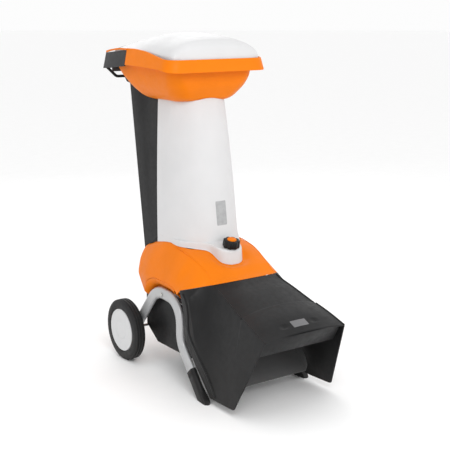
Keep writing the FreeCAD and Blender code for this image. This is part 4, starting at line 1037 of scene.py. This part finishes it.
def rim_ledge():
    """Flat ledge between the rim and the bowl."""
    half, front, rear, radius = bowl_level(LEDGE_Z - 1)
    outer = rim_plan(LEDGE_Z - 1, -3.0)
    inner = rounded_plan(half, front, rear, radius, radius, 12, 24, 12)
    pick = [i for i in range(len(outer)) if outer[i][1] < 40]
    loops = ((outer, LEDGE_Z - 3), (outer, LEDGE_Z), (inner, LEDGE_Z), (inner, LEDGE_Z - 3))
    grid = np.array([[(*plan[i], z) for i in pick] for plan, z in loops])
    return solid("ledge", grid.transpose(1, 0, 2))


def make_rim():
    """Orange rim of the hopper: band, side lips and ledge."""
    rim = rim_band()
    strips = [rim_strip(sign) for sign in (1, -1)]
    join(rim, rim_ledge(), *strips)
    bevel(rim, 0.4, 60, 1)
    dress(rim, "tower", ORANGE, ("hopper_rim",), 34)


def make_dome():
    """Light grey dome over the hopper, with a skirt inside the rim."""
    stations = np.array(DOME, float)
    first_y = stations[0, 0]
    front_ys = [first_y - 3, first_y - 2]
    ys = np.concatenate([front_ys, np.linspace(first_y, -300, 16), np.linspace(-296, 94, 60)])
    values = pchip(stations[:, 0], stations[:, 1:], np.clip(ys, first_y, stations[-1, 0]))
    share = np.sin(np.pi / 2 * np.linspace(-1, 1, 61))
    rows = []
    for y, (half, edge_z, crown_z, steep) in zip(ys, values):
        x = half * share
        z = edge_z + (crown_z - edge_z) * np.clip(1 - np.abs(share) ** DOME_EXPONENT, 0, 1) ** steep
        if y < first_y:
            x = x * 0.995
            z = np.full(len(x), edge_z) - (first_y - y) * 4
        x = np.concatenate([[-half, -half], x, [half, half]])
        z = np.concatenate([[edge_z - DOME_SKIRT, edge_z - 6], z, [edge_z - 6, edge_z - DOME_SKIRT]])
        rows.append(np.stack([x, np.full(len(x), y), np.minimum(z, DOME_TOP_Z)], 1))
    dome = shell("hopper_dome_skin", np.array(rows), DOME_WALL)
    bevel(dome, 0.8, 60)
    dress(dome, "tower", GREY, ("hopper_dome",), 40)


def make_handle_bar():
    """Bent bar below the mouth, for pulling the machine along."""
    corners = [(-216, 150, 1184), (-152, 180, 1138), (152, 180, 1138), (216, 150, 1184)]
    bar = sweep("handle_bar_tube", filleted_path(corners, [26, 26], 12, 8), circle(BAR_R, 20),
                side=(0, 0.55, 0.83))
    dress(bar, "tower", BLACK, ("handle_bar",), 50)


make_bowl()
make_rim()
make_dome()
make_handle_bar()

# ---- lock knob
KNOB_R, KNOB_LOBE, KNOB_GAP, CAP_SEAT = 33.0, 4.6, 2.6, 25.3
KNOB_SHAPE = [(0, 2.2), (0.8, 0.8), (2.2, 0), (14, 0.2), (24, 0.6), (26.6, 1.3), (28.2, 3.0), (29, 5.6),
              (29, 13.4), (28.2, 14.6), (25.2, 14.8)]
CAP_SHAPE = [(0, 17.6), (5.4, 17.6), (6.6, 17.0), (7.6, 15.4), (8.4, 12.5), (9.0, 8.0), (9.2, 3.0),
             (9.25, 0.4)]
turn = np.linspace(0, 2 * np.pi, 144, endpoint=False)
wave = np.cos(8 * turn)


def at_lock(name, rings, distance):
    """Solid of (height, radii) rings on the lock screw's axis, distance above the boss."""
    grid = [np.stack([r * np.cos(turn), r * np.sin(turn), np.full(len(turn), float(z))], 1) for z, r in rings]
    obj = solid(name, np.array(grid))
    obj.data.transform(Matrix.Translation((0, -AXLE_Y, 0)))
    place = put(seat + lock_axis * distance)
    obj.data.transform(Matrix.Translation(tuple(place)) @ Matrix.Rotation(KNOB_TILT, 4, "X"))
    return obj


lobed = KNOB_R - KNOB_LOBE * (1 - (0.5 + 0.5 * wave) ** 0.6)
knob_rings = [(z, (KNOB_R + 0 * turn if shrink > 8 else lobed) - shrink) for z, shrink in KNOB_SHAPE]
knob = at_lock("lock_knob_grip", knob_rings, KNOB_GAP)
dress(knob, "knob", BLACK, ("lock_knob",), 38)
cap_rings = [(z, radius * (1 + 0.02 * wave)) for z, radius in CAP_SHAPE]
knob_cap = at_lock("knob_cap_disc", cap_rings, KNOB_GAP + CAP_SEAT)
dress(knob_cap, "knob", ORANGE, ("knob_cap",), 30)

# ---- blank plates
PLATE_HALF, PLATE_LOW, PLATE_HIGH, PLATE_WALL = 23.0, 597.0, 689.0, 0.8
VISOR_PLATE_HALF, VISOR_PLATE_REAR, VISOR_PLATE_FRONT, VISOR_PLATE_WALL = 33.0, -815.0, -844.0, 0.7


def tower_point(x, z):
    """Point of the tower's front at an X and a height."""
    depth = OVAL_Y - tower_front(z)
    y = OVAL_Y - depth * (1 - (abs(x) / tower_half(z)) ** OVAL_N) ** (1 / OVAL_N)
    return np.array([x, y, z])


rows = []
for z in np.linspace(PLATE_LOW, PLATE_HIGH, 14):
    squeeze = 1.0 if PLATE_LOW + 4 < z < PLATE_HIGH - 4 else 0.94
    xs = np.linspace(-PLATE_HALF, PLATE_HALF, 12)
    rows.append([tower_point(x * squeeze, z) + [0, -0.9, 0] for x in xs])
plate = shell("tower_plate", np.array(rows), PLATE_WALL)
bevel(plate, 0.25, 50, 1)
dress(plate, "tower", SILVER_LABEL, (), 40)

xs = np.linspace(-VISOR_PLATE_HALF, VISOR_PLATE_HALF, 12)
ys = np.linspace(VISOR_PLATE_REAR, VISOR_PLATE_FRONT, 8)
rows = np.array([[(x, y, top_z(hood_tree, x, y) + VISOR_PLATE_WALL) for x in xs] for y in ys])
visor_plate = shell("visor_plate", rows, VISOR_PLATE_WALL, flip=True)
bevel(visor_plate, 0.2, 50, 1)
dress(visor_plate, "base", VISOR_LABEL, (), 40)

# ---- softened copies of the plainer CAD nodes
COPIES = [
    ("base_housing", "base", BLACK, "black_plastic", 2.0),
    ("chute_baffle", "base", BLACK, "black_plastic", 0.8),
    ("discharge_ramp", "base", CHUTE, "dark_grey_plastic", 0.8),
    ("axle_mounts", "base", BLACK, "black_plastic", 2.0),
    ("tower_back_shell", "tower", BLACK, "black_plastic", 0.8),
    ("mouth_frame", "tower", DARK, "dark_grey_plastic", 0.8),
    ("switch_box", "tower", BLACK, "black_plastic", 0.8),
    ("inlet_socket", "tower", BLACK, "black_plastic", 0.6),
    ("start_button", "start", GREEN, "green_plastic", 0.8),
    ("stop_button", "stop", RED, "red_plastic", 0.8),
    *[("flap_" + side, side + "_flap", RUBBER, "flap_rubber", 0.5) for side in ("left", "middle", "right")],
    ("hinge_bracket", "base", ZINC, "zinc_steel", 0.5),
    ("leg_bolts", "base", ZINC, "zinc_steel", 0.8),
    ("shell_screws", "tower", BLACK, "zinc_steel", 0.4),
    *[("wheel_" + side, side + "_wheel", BLACK, "black_plastic", 0.8) for side in ("left", "right")],
]
for node, body, look, slot, width in COPIES:
    softened(node + "_part", node, body, look, width)

PLAIN = {
    STEEL: ("axle", "cutting_chamber", "cutting_disc", "hinge_pin", "motor_bearings", "motor_plate",
            "motor_stator", "rotor_core", "rotor_shaft"),
    ZINC: ("axle_clips", "cutter_bolts", "flap_rod", "inlet_pins", "lock_insert", "lock_screw",
           "lock_washer"),
    BLACK: ("chamber_lid", "cooling_fan", "feed_tube"),
    BLADE: ("counter_blade", "disc_blades", "wing_knife"),
    CAST: ("motor_bottom_bell", "motor_top_bell"),
    COPPER: ("motor_windings",),
}
for look, nodes in PLAIN.items():
    for node in nodes:
        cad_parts[node].data.materials.clear()
        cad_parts[node].data.materials.append(look)

# ---- stage, light and camera
CAMERA_AZIMUTH, CAMERA_PITCH, CAMERA_LENS = math.radians(-34.86), math.radians(12.67), 77.3592
CAMERA_PLACE = [-2059.33, -3330.45, 1410.11]
floor_xs, floor_ys = np.linspace(-60000, 60000, 9), np.linspace(-20000, 160000, 9)
floor = mesh_object("floor", [(x, y, 0.0) for y in floor_ys for x in floor_xs], grid_faces(9, 9))
floor.data.transform(Matrix.Rotation(CAMERA_AZIMUTH, 4, "Z"))
floor.data.materials.append(material("pale_floor", (0.97, 0.97, 0.97), 0.8, variation=0.006, grain=0.01,
                                     grain_scale=40, rough_spread=0.05, specular=0.1))

world = bpy.data.worlds.new("soft_white")
bpy.context.scene.world = world
world.use_nodes = True
world.node_tree.nodes["Background"].inputs["Color"].default_value = (1.0, 1.0, 1.0, 1)
world.node_tree.nodes["Background"].inputs["Strength"].default_value = 0.98


def area_light(name, place, target, size, power):
    """Rectangular lamp that looks at a point."""
    data = bpy.data.lights.new(name, "AREA")
    data.shape = "RECTANGLE"
    data.size, data.size_y = size
    data.energy = power
    lamp = bpy.data.objects.new(name, data)
    bpy.context.scene.collection.objects.link(lamp)
    lamp.location = place
    aim = Vector(target) - Vector(place)
    lamp.rotation_euler = aim.to_track_quat("-Z", "Y").to_euler()


area_light("key", (-1.4, -3.2, 3.4), (0, 0, 0.6), (1.8, 1.8), 60)
area_light("front_fill", (1.8, -3.4, 1.6), (0, 0, 0.5), (2.4, 1.8), 12)
area_light("back_rim", (1.2, 3.0, 2.8), (0, 0, 0.8), (2.0, 2.0), 20)

camera_data = bpy.data.cameras.new("camera")
camera_data.sensor_width = 36.0
camera_data.lens = CAMERA_LENS
camera_data.clip_end = 60
camera = bpy.data.objects.new("camera", camera_data)
bpy.context.scene.collection.objects.link(camera)
camera.location = put(CAMERA_PLACE)
level = math.cos(CAMERA_PITCH)
aim = Vector((-math.sin(CAMERA_AZIMUTH) * level, math.cos(CAMERA_AZIMUTH) * level, -math.sin(CAMERA_PITCH)))
camera.rotation_euler = aim.to_track_quat("-Z", "Y").to_euler()
bpy.context.scene.camera = camera
bpy.context.scene.view_settings.view_transform = "Standard"
